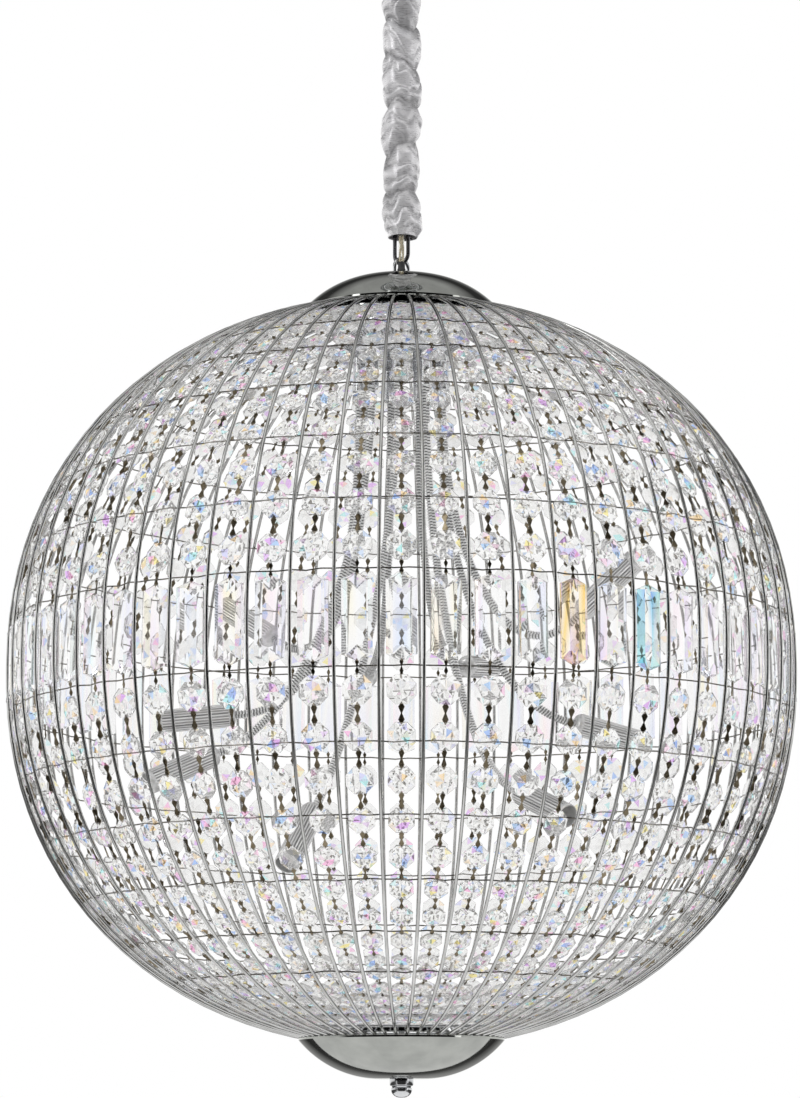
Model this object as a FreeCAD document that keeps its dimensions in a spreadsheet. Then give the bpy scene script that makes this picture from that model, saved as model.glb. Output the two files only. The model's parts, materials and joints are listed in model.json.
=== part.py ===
import FreeCAD, Part
import math
import os
import re
import Sketcher

# Crystal pendant light: a globe of sixty chrome rods dressed with crystals, nine small lamps
# on flexible necks inside it, hung from the ceiling by a chain in a gathered sleeve.
# Millimetres. The origin is on the ceiling, midway between the two screws of the bracket,
# and +Z is up. The globe's own pieces are drawn about the centre of the globe.

Vector = FreeCAD.Vector

SIZES = {
    # general clearances
    "seat_gap": 0.3,
    "running_gap": 0.1,
    "overrun": 1.0,
    # ceiling bracket
    "bracket_length": 96.0,
    "bracket_width": 20.0,
    "bracket_sheet": 2.0,
    "bracket_drop": 12.0,
    "bracket_foot": 18.0,
    "bracket_screw_margin": 8.0,
    "bracket_slot_width": 5.0,
    "bracket_slot_length": 11.0,
    # canopy that hides the bracket
    "canopy_radius": 60.0,
    "canopy_floor_radius": 47.0,
    "canopy_height": 32.0,
    "canopy_band": 8.0,
    "canopy_wall": 1.5,
    # lamp driver and terminal block in the canopy
    "driver_length": 56.0,
    "driver_width": 22.0,
    "driver_height": 17.0,
    "driver_offset": 10.8,
    "terminal_length": 15.0,
    "terminal_width": 12.0,
    "terminal_height": 11.0,
    "terminal_offset": 11.0,
    "terminal_bore": 3.0,
    # chain
    "link_wire": 2.6,
    "link_inner_width": 9.4,
    "link_inner_length": 24.0,
    "link_gap": 0.4,
    "link_count": 8,
    # wire loops above and below the chain
    "loop_wire": 2.4,
    "loop_inner_width": 10.0,
    "loop_stand": 5.2,
    "loop_nut_width": 4.6,
    "loop_nut_height": 2.4,
    # supply cable
    "cable_diameter": 3.6,
    "cable_offset": 6.5,
    "cable_headroom": 4.5,
    "gland_radius": 2.3,
    "gland_base_radius": 2.7,
    "gland_base_height": 3.0,
    "gland_height": 9.0,
    # gathered sleeve over the chain
    "sleeve_waist_radius": 10.8,
    "sleeve_belly_radius": 13.4,
    "sleeve_wander": 0.9,
    "sleeve_puff_count": 11,
    "sleeve_shoulder_share": 0.3,
    "sleeve_bottom_margin": 17.0,
    "sleeve_top_margin": 6.0,
    # globe of rods
    "globe_radius": 250.0,
    "pole_flattening": 13.0,
    "meridian_bend_share": 0.93,
    "rib_thickness": 3.0,
    "rib_count": 60,
    "rib_belt_angle": 6.5,
    "rib_end_angle": 79.0,
    "rib_curve_steps": 4,
    "ring_wire": 1.0,
    # crystals
    "prism_width": 18.0,
    "prism_depth": 8.0,
    "prism_point_share": 0.25,
    "prism_length": 49.0,
    "strand_width": 15.0,
    "strand_end_width": 3.2,
    "strand_depth": 2.4,
    "strand_start_angle": 9.0,
    "strand_end_angle": 73.5,
    # crown of the globe
    "collar_radius": 56.0,
    "collar_inner_radius": 45.0,
    "collar_thickness": 3.0,
    "collar_gap": 0.6,
    "rib_slant_share": 1.15,
    "cap_radius": 64.5,
    "cap_rim_height": 1.6,
    "cap_overlap": 2.0,
    "cap_rise": 25.5,
    "cap_swell_share": 0.68,
    "cap_land_radius": 17.0,
    "cap_wall": 1.2,
    "washer_radius": 15.0,
    "washer_thickness": 1.5,
    "hub_radius": 52.0,
    "hub_thickness": 3.0,
    "bowl_radius": 42.0,
    "bowl_floor_radius": 36.0,
    "bowl_depth": 20.0,
    "bowl_wall": 1.5,
    "junction_length": 26.0,
    "junction_width": 14.0,
    "junction_height": 9.0,
    # lamp arms
    "lamp_count": 9,
    "ferrule_circle": 27.0,
    "ferrule_radius": 4.6,
    "ferrule_length": 22.0,
    "neck_radius": 2.8,
    "neck_fall": 105.0,
    "neck_reach": 62.0,
    "neck_lead": 5.0,
    "neck_steps": 6,
    "neck_sides": 6,
    "cover_radius": 7.5,
    "cover_flute_depth": 0.5,
    "cover_flute_count": 12,
    "cover_length": 50.0,
    "cover_back_wall": 2.5,
    "recess_radius": 6.4,
    "recess_depth": 14.0,
    "seat_radius": 6.0,
    "pin_spacing": 4.0,
    "pin_hole": 1.2,
    "pin_hole_depth": 8.0,
    # bottom of the globe
    "crossbar_width": 14.0,
    "crossbar_thickness": 3.0,
    "crossbar_half_length": 53.0,
    "stud_radius": 2.0,
    "stud_reach": 7.0,
    "finial_radius": 7.5,
    "finial_neck_height": 4.0,
    "finial_height": 11.5,
    "finial_tip_radius": 3.2,
    "finial_shoulder_share": 0.8,
    "finial_drop_share": 0.55,
}

# Flat chords that stand for round outlines, the rings with one corner at every second or
# third rod.
RING_SIDES = 30
SMALL_RING_SIDES = 20
RIM_SIDES = 24
FINIAL_SIDES = 12
ROUND_SIDES = 8
WIRE_SIDES = 4
# Heights of the wire rings each side of the equator, as angles in degrees whose sines are
# shares of the globe's radius.
RING_LATITUDES = (6.5, 16.5, 26.5, 36.0, 44.5, 52.0)
# Rings from this latitude on have fewer corners.
SMALL_RING_LATITUDE = 36.0
# Arcs of a link or loop are chords of this many degrees, so a chord lies across the end.
BEND_STEP = 36.0
# The globe's loop stands turned by this many degrees about Z, and each link above it is
# turned the other way from what it hangs in.
GLOBE_LOOP_TURN = 45.0
TURN_COSINE = "cos(%g deg)" % GLOBE_LOOP_TURN

# One row for each lamp: azimuth and elevation of its mouth in degrees, then the distance of
# its back from the axis and its height above the centre as shares of the globe's radius.
LAMP_POSE_SHARES = (
    (22.0, -12.0, 0.48, -0.11),
    (68.0, 6.0, 0.45, 0.07),
    (102.0, -8.0, 0.42, 0.05),
    (142.0, 30.0, 0.42, 0.12),
    (180.0, -5.0, 0.42, -0.11),
    (204.0, -24.0, 0.50, -0.23),
    (240.0, -48.0, 0.42, -0.38),
    (308.0, -22.0, 0.46, -0.34),
    (345.0, 42.0, 0.46, 0.13),
)
FIRST_FERRULE_ANGLE = 25.0

# How full each puff of the sleeve is, and how far it leans, from the lowest puff up.
PUFF_FULLNESS_SHARES = (0.55, 0.9, 0.35, 1.0, 0.6, 0.8, 0.4, 0.95, 0.5, 0.75, 0.6)
PUFF_LEAN_SHARES = (-0.4, -1.0, 0.3, -0.9, 0.8, -0.7, 0.2, -1.0, 0.5, -0.3, 0.4)

FUNCTIONS = {"cos", "sin", "tan", "sqrt", "deg"}

doc = FreeCAD.newDocument("pendant_light")
sheet = doc.addObject("Spreadsheet::Sheet", "sizes")
for row, (alias, number) in enumerate(SIZES.items(), start=1):
    sheet.set("A%d" % row, alias)
    sheet.set("B%d" % row, str(number))
    sheet.setAlias("B%d" % row, alias)
doc.recompute()

pieces = []


def bind(text):
    """Write a formula of size names as an expression on the spreadsheet."""
    def full_name(match):
        word = match.group()
        return word if word in FUNCTIONS else "sizes." + word
    return re.sub(r"[a-z][a-z_0-9]*", full_name, text)


def size(text):
    """Work out a formula of size names."""
    result = sheet.evalExpression(bind(text))
    return float(getattr(result, "Value", result))


# Heights above the centre of the globe, as formulas. A meridian is a flattened round whose
# distances across and up are powers of a cosine and a sine, the power being the bend share.
RIB_INNER = "(globe_radius - rib_thickness)"
BEND_POWER = "(2 / meridian_bend_share)"
REACH_LEFT = "(1 - (collar_radius / globe_radius) ^ %s)" % BEND_POWER
CROWN = "((globe_radius - pole_flattening) * %s ^ (1 / %s))" % (REACH_LEFT, BEND_POWER)
COLLAR_TOP = "(%s - rib_thickness * rib_slant_share - collar_gap)" % CROWN
CAP_RIM = "(%s - cap_overlap)" % CROWN
CAP_TOP = "(%s + cap_rise)" % CAP_RIM
WASHER_TOP = "(%s + washer_thickness)" % CAP_TOP
LOOP_BEND = "(loop_inner_width + loop_wire) / 2"
CHORD_SHARE = "cos(%g deg)" % (BEND_STEP / 2)
LOOP_TOP = "(%s + loop_stand + %s * %s)" % (WASHER_TOP, LOOP_BEND, CHORD_SHARE)
LINK_BEND = "(link_inner_width + link_wire) / 2"
LINK_SPAN = "(link_inner_length + link_wire)"
LOWEST_LINK = "(%s - loop_wire / 2 - link_gap - link_wire / 2)" % LOOP_TOP
LINK_PITCH = "(%s - link_wire - link_gap)" % LINK_SPAN
HIGHEST_LINK = "(%s + (link_count - 1) * %s + %s)" % (LOWEST_LINK, LINK_PITCH, LINK_SPAN)
CANOPY_LOOP = "(%s - link_wire / 2 - link_gap - loop_wire / 2)" % HIGHEST_LINK
CANOPY_NUT = "(%s + %s * %s + loop_stand)" % (CANOPY_LOOP, LOOP_BEND, CHORD_SHARE)
CANOPY_FLOOR = "(%s + loop_nut_height)" % CANOPY_NUT
CEILING = "(%s + canopy_height)" % CANOPY_FLOOR
HUB_TOP = "(%s - collar_thickness)" % COLLAR_TOP
HUB_BOTTOM = "(%s - hub_thickness)" % HUB_TOP
BOWL_BOTTOM = "(%s - bowl_depth)" % HUB_BOTTOM
FERRULE_END = "(%s - ferrule_length)" % BOWL_BOTTOM

ceiling = size(CEILING)
even_links = int(size("link_count")) % 2 == 0
canopy_turn = -GLOBE_LOOP_TURN if even_links else GLOBE_LOOP_TURN


def keep(piece, label):
    """Give a piece its name, which is also the name of its file."""
    piece.Label = label
    pieces.append(piece)
    return piece


def to_globe(piece):
    """Place a piece drawn about the centre of the globe."""
    piece.setExpression("Placement.Base.z", bind("-" + CEILING))


def formed(label, shape, placement=None):
    """A piece whose shape comes from the functions below."""
    piece = doc.addObject("Part::Feature", label)
    piece.Shape = shape
    if placement is None:
        placement = FreeCAD.Placement(Vector(0, 0, -ceiling), FreeCAD.Rotation())
    piece.Placement = placement * shape.Placement
    return keep(piece, label)


def new_body(label):
    body = doc.addObject("PartDesign::Body", label)
    body.AllowCompound = True
    return keep(body, label)


def origin_part(body, role):
    return [part for part in body.Origin.OriginFeatures if part.Role == role][0]


def new_sketch(body, name, plane, lift=None):
    """A sketch on one of the body's planes, lifted along the plane's normal."""
    sketch = body.newObject("Sketcher::SketchObject", name)
    sketch.AttachmentSupport = (origin_part(body, plane), [""])
    sketch.MapMode = "FlatFace"
    if lift:
        sketch.setExpression("AttachmentOffset.Base.z", bind(lift))
    return sketch


def fix_point(sketch, line, across, up):
    """Tie the first point of a line to two formulas."""
    for kind, axis, text in (("DistanceX", -2, across), ("DistanceY", -1, up)):
        number = size(text)
        if abs(number) < 1e-9:
            sketch.addConstraint(Sketcher.Constraint("PointOnObject", line, 1, axis))
            continue
        index = sketch.addConstraint(Sketcher.Constraint(kind, -1, 1, line, 1, number))
        sketch.setExpression("Constraints[%d]" % index, bind(text))


def outline(sketch, points):
    """Add a closed outline of straight lines whose corners are pairs of formulas."""
    first = sketch.GeometryCount
    count = len(points)
    corners = [Vector(size(across), size(up), 0) for across, up in points]
    for index in range(count):
        sketch.addGeometry(Part.LineSegment(corners[index], corners[(index + 1) % count]))
    for index in range(count):
        following = first + (index + 1) % count
        sketch.addConstraint(Sketcher.Constraint("Coincident", first + index, 2, following, 1))
    for index, (across, up) in enumerate(points):
        fix_point(sketch, first + index, across, up)


def circle(sketch, across, up, radius):
    """Add a circle whose centre and radius are formulas."""
    centre = Vector(size(across), size(up), 0)
    index = sketch.addGeometry(Part.Circle(centre, Vector(0, 0, 1), size(radius)))
    for kind, axis, text in (("DistanceX", -2, across), ("DistanceY", -1, up)):
        if abs(size(text)) < 1e-9:
            sketch.addConstraint(Sketcher.Constraint("PointOnObject", index, 3, axis))
            continue
        bound = sketch.addConstraint(Sketcher.Constraint(kind, -1, 1, index, 3, size(text)))
        sketch.setExpression("Constraints[%d]" % bound, bind(text))
    bound = sketch.addConstraint(Sketcher.Constraint("Radius", index, size(radius)))
    sketch.setExpression("Constraints[%d]" % bound, bind(radius))


def leg_place(sign, turn):
    """Middle of one leg of a loop that stands turned about Z by plus or minus 45 degrees."""
    across = "%d * %s * %s" % (sign, LOOP_BEND, TURN_COSINE)
    up = "%d * %s * %s" % (sign if turn > 0 else -sign, LOOP_BEND, TURN_COSINE)
    return across, up


def leg_hole(sign, turn):
    """Corners of the square hole round one leg of a loop."""
    across, up = leg_place(sign, turn)
    half = "(loop_wire / 2 + running_gap) / %s" % TURN_COSINE
    return [("%s + %s" % (across, half), up), (across, "%s + %s" % (up, half)),
            ("%s - %s" % (across, half), up), (across, "%s - %s" % (up, half))]


def rectangle(left, right, low, high):
    return [(left, low), (right, low), (right, high), (left, high)]


def polygon(sides, radius, turn=0.0):
    """Corners of a regular polygon about the origin."""
    corners = []
    for index in range(sides):
        angle = turn + 360.0 * index / sides
        corners.append(("%s * cos(%g deg)" % (radius, angle), "%s * sin(%g deg)" % (radius, angle)))
    return corners


def pad(body, sketch, length, middle=False, reverse=False):
    feature = body.newObject("PartDesign::Pad", "pad")
    feature.Profile = sketch
    feature.Midplane = middle
    feature.Reversed = reverse
    feature.setExpression("Length", bind(length))
    sketch.Visibility = False
    return feature


def pocket(body, sketch, depth, reverse=False, middle=False):
    """Cut a sketch into its body and make sure that it cut something."""
    doc.recompute()
    before = body.Shape.Volume
    feature = body.newObject("PartDesign::Pocket", "pocket")
    feature.Profile = sketch
    feature.Reversed = reverse
    feature.Midplane = middle
    feature.setExpression("Length", bind(depth))
    doc.recompute()
    if body.Shape.Volume >= before:
        raise RuntimeError("a pocket of %s cuts nothing" % body.Label)
    return feature


def spin(body, sketch):
    feature = body.newObject("PartDesign::Revolution", "turned")
    feature.Profile = sketch
    feature.ReferenceAxis = (sketch, ["V_Axis"])
    feature.Angle = 360.0
    return feature


def turned(label, points, lift=None):
    """A round piece turned about Z from a closed outline of radius and height."""
    body = new_body(label)
    sketch = new_sketch(body, label + "_profile", "XZ_Plane")
    outline(sketch, points)
    spin(body, sketch)
    if lift:
        body.setExpression("Placement.Base.z", bind(lift))
    return body


def around(body, feature, count):
    """Repeat a feature evenly about Z."""
    pattern = body.newObject("PartDesign::PolarPattern", "around")
    pattern.Originals = [feature]
    pattern.Axis = (origin_part(body, "Z_Axis"), [""])
    pattern.Angle = 360.0
    pattern.setExpression("Occurrences", bind(count))
    body.Tip = pattern
    return pattern


def solid_of(faces):
    """Sew flat faces into one solid."""
    shell = Part.Shell(faces)
    shell.sewShape()
    solid = Part.Solid(shell)
    if solid.Volume < 0:
        solid.reverse()
    return solid


def flat_face(corners):
    return Part.Face(Part.makePolygon(corners + corners[:1]))


def ring_corners(radius, height, sides, turn):
    corners = []
    for index in range(sides):
        angle = math.radians(turn + 360.0 * index / sides)
        corners.append(Vector(radius * math.cos(angle), radius * math.sin(angle), height))
    return corners


def chorded(profile, sides=RIM_SIDES, turn=0.0):
    """A round piece about Z made of flat chords, from a closed outline of (radius, height)."""
    faces = []
    rings = [ring_corners(radius, height, sides, turn) if radius > 0 else None
             for radius, height in profile]
    for index, (radius, height) in enumerate(profile):
        following = (index + 1) % len(profile)
        far_radius, far_height = profile[following]
        near, far = rings[index], rings[following]
        if near is None and far is None:
            continue
        if abs(height - far_height) < 1e-9:
            outer, inner = (near, far) if radius > far_radius else (far, near)
            wires = [Part.makePolygon(outer + outer[:1])]
            if inner is not None:
                wires.append(Part.makePolygon(inner + inner[:1]))
            face = Part.Face(wires[0])
            faces.append(face.cut(Part.Face(wires[1])).Faces[0] if len(wires) > 1 else face)
            continue
        for side in range(sides):
            turn_on = (side + 1) % sides
            if near is None:
                corners = [Vector(0, 0, height), far[side], far[turn_on]]
            elif far is None:
                corners = [near[side], near[turn_on], Vector(0, 0, far_height)]
            else:
                corners = [near[side], near[turn_on], far[turn_on], far[side]]
            faces.append(flat_face(corners))
    return solid_of(faces)


def rod(path, half, sides, closed=False, flat=None):
    """A rod of even section along straight runs with mitred corners.

    half is the distance from the middle of the rod to its flats, flat the normal of one flat.
    """
    count = len(path)
    runs = count if closed else count - 1
    headings = [(path[(index + 1) % count] - path[index]).normalize() for index in range(runs)]
    first = headings[0]
    side_way = (flat - first * flat.dot(first)).normalize()
    up_way = first.cross(side_way)
    reach = half / math.cos(math.pi / sides)
    section = []
    for index in range(sides):
        angle = math.pi * (2 * index + 1) / sides
        section.append(path[0] + side_way * (reach * math.cos(angle))
                       + up_way * (reach * math.sin(angle)))

    def slid(points, heading, at, normal):
        return [point + heading * ((at - point).dot(normal) / heading.dot(normal))
                for point in points]

    start_normal = (headings[-1] + first).normalize() if closed else first
    sections = [slid(section, first, path[0], start_normal)]
    for index in range(1, count if closed else count - 1):
        normal = (headings[index - 1] + headings[index]).normalize()
        sections.append(slid(sections[-1], headings[index - 1], path[index], normal))
    if not closed:
        sections.append(slid(sections[-1], headings[-1], path[-1], headings[-1]))
    faces = []
    for index in range(runs):
        near, far = sections[index], sections[(index + 1) % len(sections)]
        for side in range(sides):
            turn_on = (side + 1) % sides
            faces.append(flat_face([near[side], near[turn_on], far[turn_on], far[side]]))
    if not closed:
        faces.append(flat_face(sections[0]))
        faces.append(flat_face(sections[-1]))
    return solid_of(faces)


def bend_points(radius, height, upward=True):
    """Points of a half turn of chords in the XZ plane, from the +X side to the -X side."""
    points = []
    angle = 0.0
    while angle < 180.0 + BEND_STEP / 2:
        rise = radius * math.sin(math.radians(angle))
        points.append(Vector(radius * math.cos(math.radians(angle)), 0,
                             height + (rise if upward else -rise)))
        angle += BEND_STEP
    return points


def link_shape(low_end):
    """One chain link in the XZ plane; low_end is the height of the middle of its lowest wire."""
    radius = size(LINK_BEND)
    crown = radius * math.cos(math.radians(BEND_STEP / 2))
    high = low_end + size(LINK_SPAN) - crown
    low = low_end + crown
    path = bend_points(radius, high) + bend_points(radius, low, upward=False)[::-1]
    return rod(path, size("link_wire / 2"), WIRE_SIDES, closed=True, flat=Vector(0, 1, 0))


def loop_shape(end, legs_to, upward):
    """A wire loop with two straight legs; end is the height of the middle of its bend."""
    radius = size(LOOP_BEND)
    crown = radius * math.cos(math.radians(BEND_STEP / 2))
    height = end - crown if upward else end + crown
    path = [Vector(radius, 0, legs_to)] + bend_points(radius, height, upward)
    path.append(Vector(-radius, 0, legs_to))
    return rod(path, size("loop_wire / 2"), WIRE_SIDES, flat=Vector(0, 1, 0))


def turned_about_axis(shape, angle):
    copy = shape.copy()
    copy.rotate(Vector(0, 0, 0), Vector(0, 0, 1), angle)
    return copy


def make_bracket():
    """A hat-shaped ceiling strap with a slot in each foot and a saddle that the loop hangs in."""
    body = new_body("mounting_bracket")
    side = new_sketch(body, "bracket_side", "XZ_Plane")
    saddle = "(bracket_length / 2 - bracket_foot)"
    sheet_metal = "bracket_sheet"
    half = "bracket_length / 2"
    drop = "bracket_drop"
    outline(side, [
        ("-%s" % half, "-%s" % sheet_metal),
        ("-%s - %s" % (saddle, sheet_metal), "-%s" % sheet_metal),
        ("-%s - %s" % (saddle, sheet_metal), "-%s - %s" % (drop, sheet_metal)),
        ("%s + %s" % (saddle, sheet_metal), "-%s - %s" % (drop, sheet_metal)),
        ("%s + %s" % (saddle, sheet_metal), "-%s" % sheet_metal),
        (half, "-%s" % sheet_metal),
        (half, "0"),
        (saddle, "0"),
        (saddle, "-%s" % drop),
        ("-%s" % saddle, "-%s" % drop),
        ("-%s" % saddle, "0"),
        ("-%s" % half, "0"),
    ])
    pad(body, side, "bracket_width", middle=True)
    doc.recompute()
    slots = new_sketch(body, "bracket_slots", "XY_Plane")
    straight = "(bracket_slot_length - bracket_slot_width) / 2"
    for sign in ("", "-"):
        middle = "%s(bracket_length / 2 - bracket_screw_margin)" % sign
        slot(slots, middle, straight, "bracket_slot_width / 2")
    pocket(body, slots, "bracket_sheet + overrun")
    holes = new_sketch(body, "bracket_leg_holes", "XY_Plane")
    for sign in (1, -1):
        outline(holes, leg_hole(sign, canopy_turn))
    pocket(body, holes, "bracket_drop + bracket_sheet + overrun")


def slot(sketch, middle, half_straight, radius):
    """Add a slot along X as two lines and two half circles."""
    centre, straight, reach = size(middle), size(half_straight), size(radius)
    left = Vector(centre - straight, 0, 0)
    right = Vector(centre + straight, 0, 0)
    up = Vector(0, reach, 0)
    normal = Vector(0, 0, 1)
    quarter = math.pi / 2
    first = sketch.addGeometry([
        Part.LineSegment(left + up, right + up),
        Part.ArcOfCircle(Part.Circle(right, normal, reach), -quarter, quarter),
        Part.LineSegment(right - up, left - up),
        Part.ArcOfCircle(Part.Circle(left, normal, reach), quarter, 3 * quarter),
    ])[0]
    for line, line_end, arc, arc_end in ((0, 2, 1, 2), (1, 1, 2, 1), (2, 2, 3, 2), (3, 1, 0, 1)):
        sketch.addConstraint(Sketcher.Constraint("Tangent", first + line, line_end,
                                                 first + arc, arc_end))
    sketch.addConstraint(Sketcher.Constraint("Horizontal", first))
    sketch.addConstraint(Sketcher.Constraint("PointOnObject", first + 1, 3, -1))
    for item, text in ((1, "%s + %s" % (middle, half_straight)),
                       (3, "%s - %s" % (middle, half_straight))):
        index = sketch.addConstraint(
            Sketcher.Constraint("DistanceX", -1, 1, first + item, 3, size(text)))
        sketch.setExpression("Constraints[%d]" % index, bind(text))
    index = sketch.addConstraint(Sketcher.Constraint("Radius", first + 1, size(radius)))
    sketch.setExpression("Constraints[%d]" % index, bind(radius))


def leg_cutters(low, high, turn):
    """Cutters for the two legs of a loop and for the cable beside it."""
    cutters = []
    for sign in (1, -1):
        corners = [Vector(size(across), size(up), low) for across, up in leg_hole(sign, turn)]
        cutters.append(flat_face(corners).extrude(Vector(0, 0, high - low)))
    reach = size("cable_diameter / 2 + seat_gap") / math.cos(math.pi / ROUND_SIDES)
    middle = Vector(0, -size("cable_offset"), 0)
    corners = [corner + middle for corner in ring_corners(reach, low, ROUND_SIDES, 0.0)]
    cutters.append(flat_face(corners).extrude(Vector(0, 0, high - low)))
    return cutters


def make_canopy():
    """A spun dish that closes on the ceiling, with holes for the loop's legs and the cable."""
    radius, floor_radius = size("canopy_radius"), size("canopy_floor_radius")
    height, band, wall = size("canopy_height"), size("canopy_band"), size("canopy_wall")
    shape = chorded([
        (radius - wall, 0.0),
        (radius, 0.0),
        (radius, -band),
        (floor_radius, -height),
        (0.0, -height),
        (0.0, wall - height),
        (floor_radius - wall, wall - height),
        (radius - wall, -band),
    ])
    over = size("overrun")
    for cutter in leg_cutters(-height - over, wall - height + over, canopy_turn):
        shape = shape.cut(cutter)
    formed("canopy", shape, FreeCAD.Placement())


def box_body(label, left, right, front, back, low, high, hole=None):
    """A block between six planes, with an optional hole along X at mid height."""
    body = new_body(label)
    sketch = new_sketch(body, label + "_plan", "XY_Plane", low)
    outline(sketch, rectangle(left, right, front, back))
    pad(body, sketch, "(%s) - (%s)" % (high, low))
    if hole:
        doc.recompute()
        drilled = new_sketch(body, label + "_bore", "YZ_Plane", right)
        circle(drilled, "((%s) + (%s)) / 2" % (front, back), "((%s) + (%s)) / 2" % (low, high),
               hole)
        pocket(body, drilled, "(%s) - (%s) + overrun" % (right, left))
    return body


def make_canopy_contents():
    floor = "canopy_wall - canopy_height"
    box_body("lamp_driver", "-driver_length / 2", "driver_length / 2", "driver_offset",
             "driver_offset + driver_width", floor, floor + " + driver_height")
    saddle = "-bracket_drop - bracket_sheet"
    box_body("terminal_block", "terminal_offset", "terminal_offset + terminal_length",
             "-terminal_width / 2", "terminal_width / 2", saddle + " - terminal_height", saddle,
             hole="terminal_bore / 2")


def nut_body(label, lows, turn):
    """Pairs of small square nuts on the two legs of a loop, one pair at each height."""
    body = new_body(label)
    for index, low in enumerate(lows):
        sketch = new_sketch(body, "%s_%d" % (label, index), "XY_Plane", low)
        for sign in (1, -1):
            across, up = leg_place(sign, turn)
            half = "loop_nut_width / 2"
            outline(sketch, rectangle("%s - %s" % (across, half), "%s + %s" % (across, half),
                                      "%s - %s" % (up, half), "%s + %s" % (up, half)))
            outline(sketch, leg_hole(sign, turn))
        pad(body, sketch, "loop_nut_height")
        doc.recompute()
    return body


def make_suspension():
    """Loop under the canopy, chain, and the loop that stands on the globe."""
    leg_top = size(CEILING) - size("bracket_drop") + size("loop_nut_height + overrun")
    loop = loop_shape(size(CANOPY_LOOP), leg_top, False)
    formed("canopy_loop", turned_about_axis(loop, canopy_turn))
    nut_body("bracket_nuts", ["-bracket_drop"], canopy_turn)
    nut_body("canopy_nuts", ["-canopy_height - loop_nut_height"], canopy_turn)
    links = []
    for index in range(int(size("link_count"))):
        low_end = size(LOWEST_LINK) + index * size(LINK_PITCH)
        turn = -GLOBE_LOOP_TURN if index % 2 == 0 else GLOBE_LOOP_TURN
        links.append(turned_about_axis(link_shape(low_end), turn))
    formed("top_chain_link", links[-1])
    formed("chain_links", Part.makeCompound(links[:-1]))
    leg_end = size(HUB_BOTTOM) - size("loop_nut_height + overrun")
    loop = loop_shape(size(LOOP_TOP), leg_end, True)
    formed("suspension_loop", turned_about_axis(loop, GLOBE_LOOP_TURN))
    lows = ["%s - loop_nut_height" % HUB_BOTTOM, HUB_TOP]
    to_globe(nut_body("hub_nuts", lows, GLOBE_LOOP_TURN))


def sleeve_stations():
    """Height, radius and lean of each section of the gathered sleeve, from the bottom up."""
    low = size(LOWEST_LINK) + size("sleeve_bottom_margin")
    high = size(CANOPY_LOOP) - size("sleeve_top_margin")
    waist, belly = size("sleeve_waist_radius"), size("sleeve_belly_radius")
    wander = size("sleeve_wander")
    shoulder = size("sleeve_shoulder_share")
    count = int(size("sleeve_puff_count"))
    puff = (high - low) / count
    stations = [(low, waist, 0.0)]
    for index in range(count):
        full = waist + (belly - waist) * PUFF_FULLNESS_SHARES[index % len(PUFF_FULLNESS_SHARES)]
        lean = wander * PUFF_LEAN_SHARES[index % len(PUFF_LEAN_SHARES)]
        bottom = low + index * puff
        stations.append((bottom + puff * shoulder, full, lean))
        stations.append((bottom + puff * (1 - shoulder), full, lean))
        stations.append((bottom + puff, waist, 0.0))
    return stations


def make_sleeve():
    """The gathered sleeve: a soft tube of uneven puffs over a plain bore."""
    flat_turn = 180.0 / ROUND_SIDES
    sections = []
    for height, radius, lean in sleeve_stations():
        corners = ring_corners(radius, height, ROUND_SIDES, flat_turn)
        sections.append([corner + Vector(lean, 0, 0) for corner in corners])
    faces = []
    for near, far in zip(sections, sections[1:]):
        for side in range(ROUND_SIDES):
            turn_on = (side + 1) % ROUND_SIDES
            faces.append(flat_face([near[side], near[turn_on], far[turn_on], far[side]]))
    faces.append(flat_face(sections[0]))
    faces.append(flat_face(sections[-1]))
    body = solid_of(faces)
    over = size("overrun")
    low, high = sections[0][0].z - over, sections[-1][0].z + over
    lining = size("cable_offset + cable_diameter / 2 + seat_gap")
    reach = lining / math.cos(math.pi / ROUND_SIDES)
    bore = chorded([(reach, low), (reach, high), (0.0, high), (0.0, low)], ROUND_SIDES,
                   flat_turn)
    formed("chain_sleeve", body.cut(bore))


def make_cable():
    """The supply cable in three lengths, which meet at the top and the bottom of the chain."""
    bracket_underside = "(%s - bracket_drop - bracket_sheet)" % CEILING
    sleeve_top = "(%s - sleeve_top_margin)" % CANOPY_LOOP
    gland_top = "(%s + gland_height)" % CAP_TOP
    sleeve_bottom = "(%s + sleeve_bottom_margin)" % LOWEST_LINK
    spans = (
        ("cable_head", sleeve_top, "%s - cable_headroom" % bracket_underside),
        ("supply_cable", sleeve_bottom, sleeve_top),
        ("cable_tail", gland_top, sleeve_bottom),
    )
    for label, low, high in spans:
        body = new_body(label)
        sketch = new_sketch(body, label + "_section", "XY_Plane", low)
        outline(sketch, [(across, "%s - cable_offset" % up)
                         for across, up in polygon(ROUND_SIDES, "cable_diameter / 2")])
        pad(body, sketch, "(%s) - (%s)" % (high, low))
        to_globe(body)


def make_gland():
    """Black cord grip that stands beside the loop on the washer."""
    base, grip = size("gland_base_radius"), size("gland_radius")
    step, top = size("gland_base_height"), size("gland_height - washer_thickness")
    shape = chorded([(0.0, 0.0), (base, 0.0), (base, step), (grip, step), (grip, top),
                     (0.0, top)], ROUND_SIDES)
    middle = Vector(0, -size("cable_offset"), size(WASHER_TOP) - ceiling)
    formed("cord_gland", shape, FreeCAD.Placement(middle, FreeCAD.Rotation()))


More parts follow.
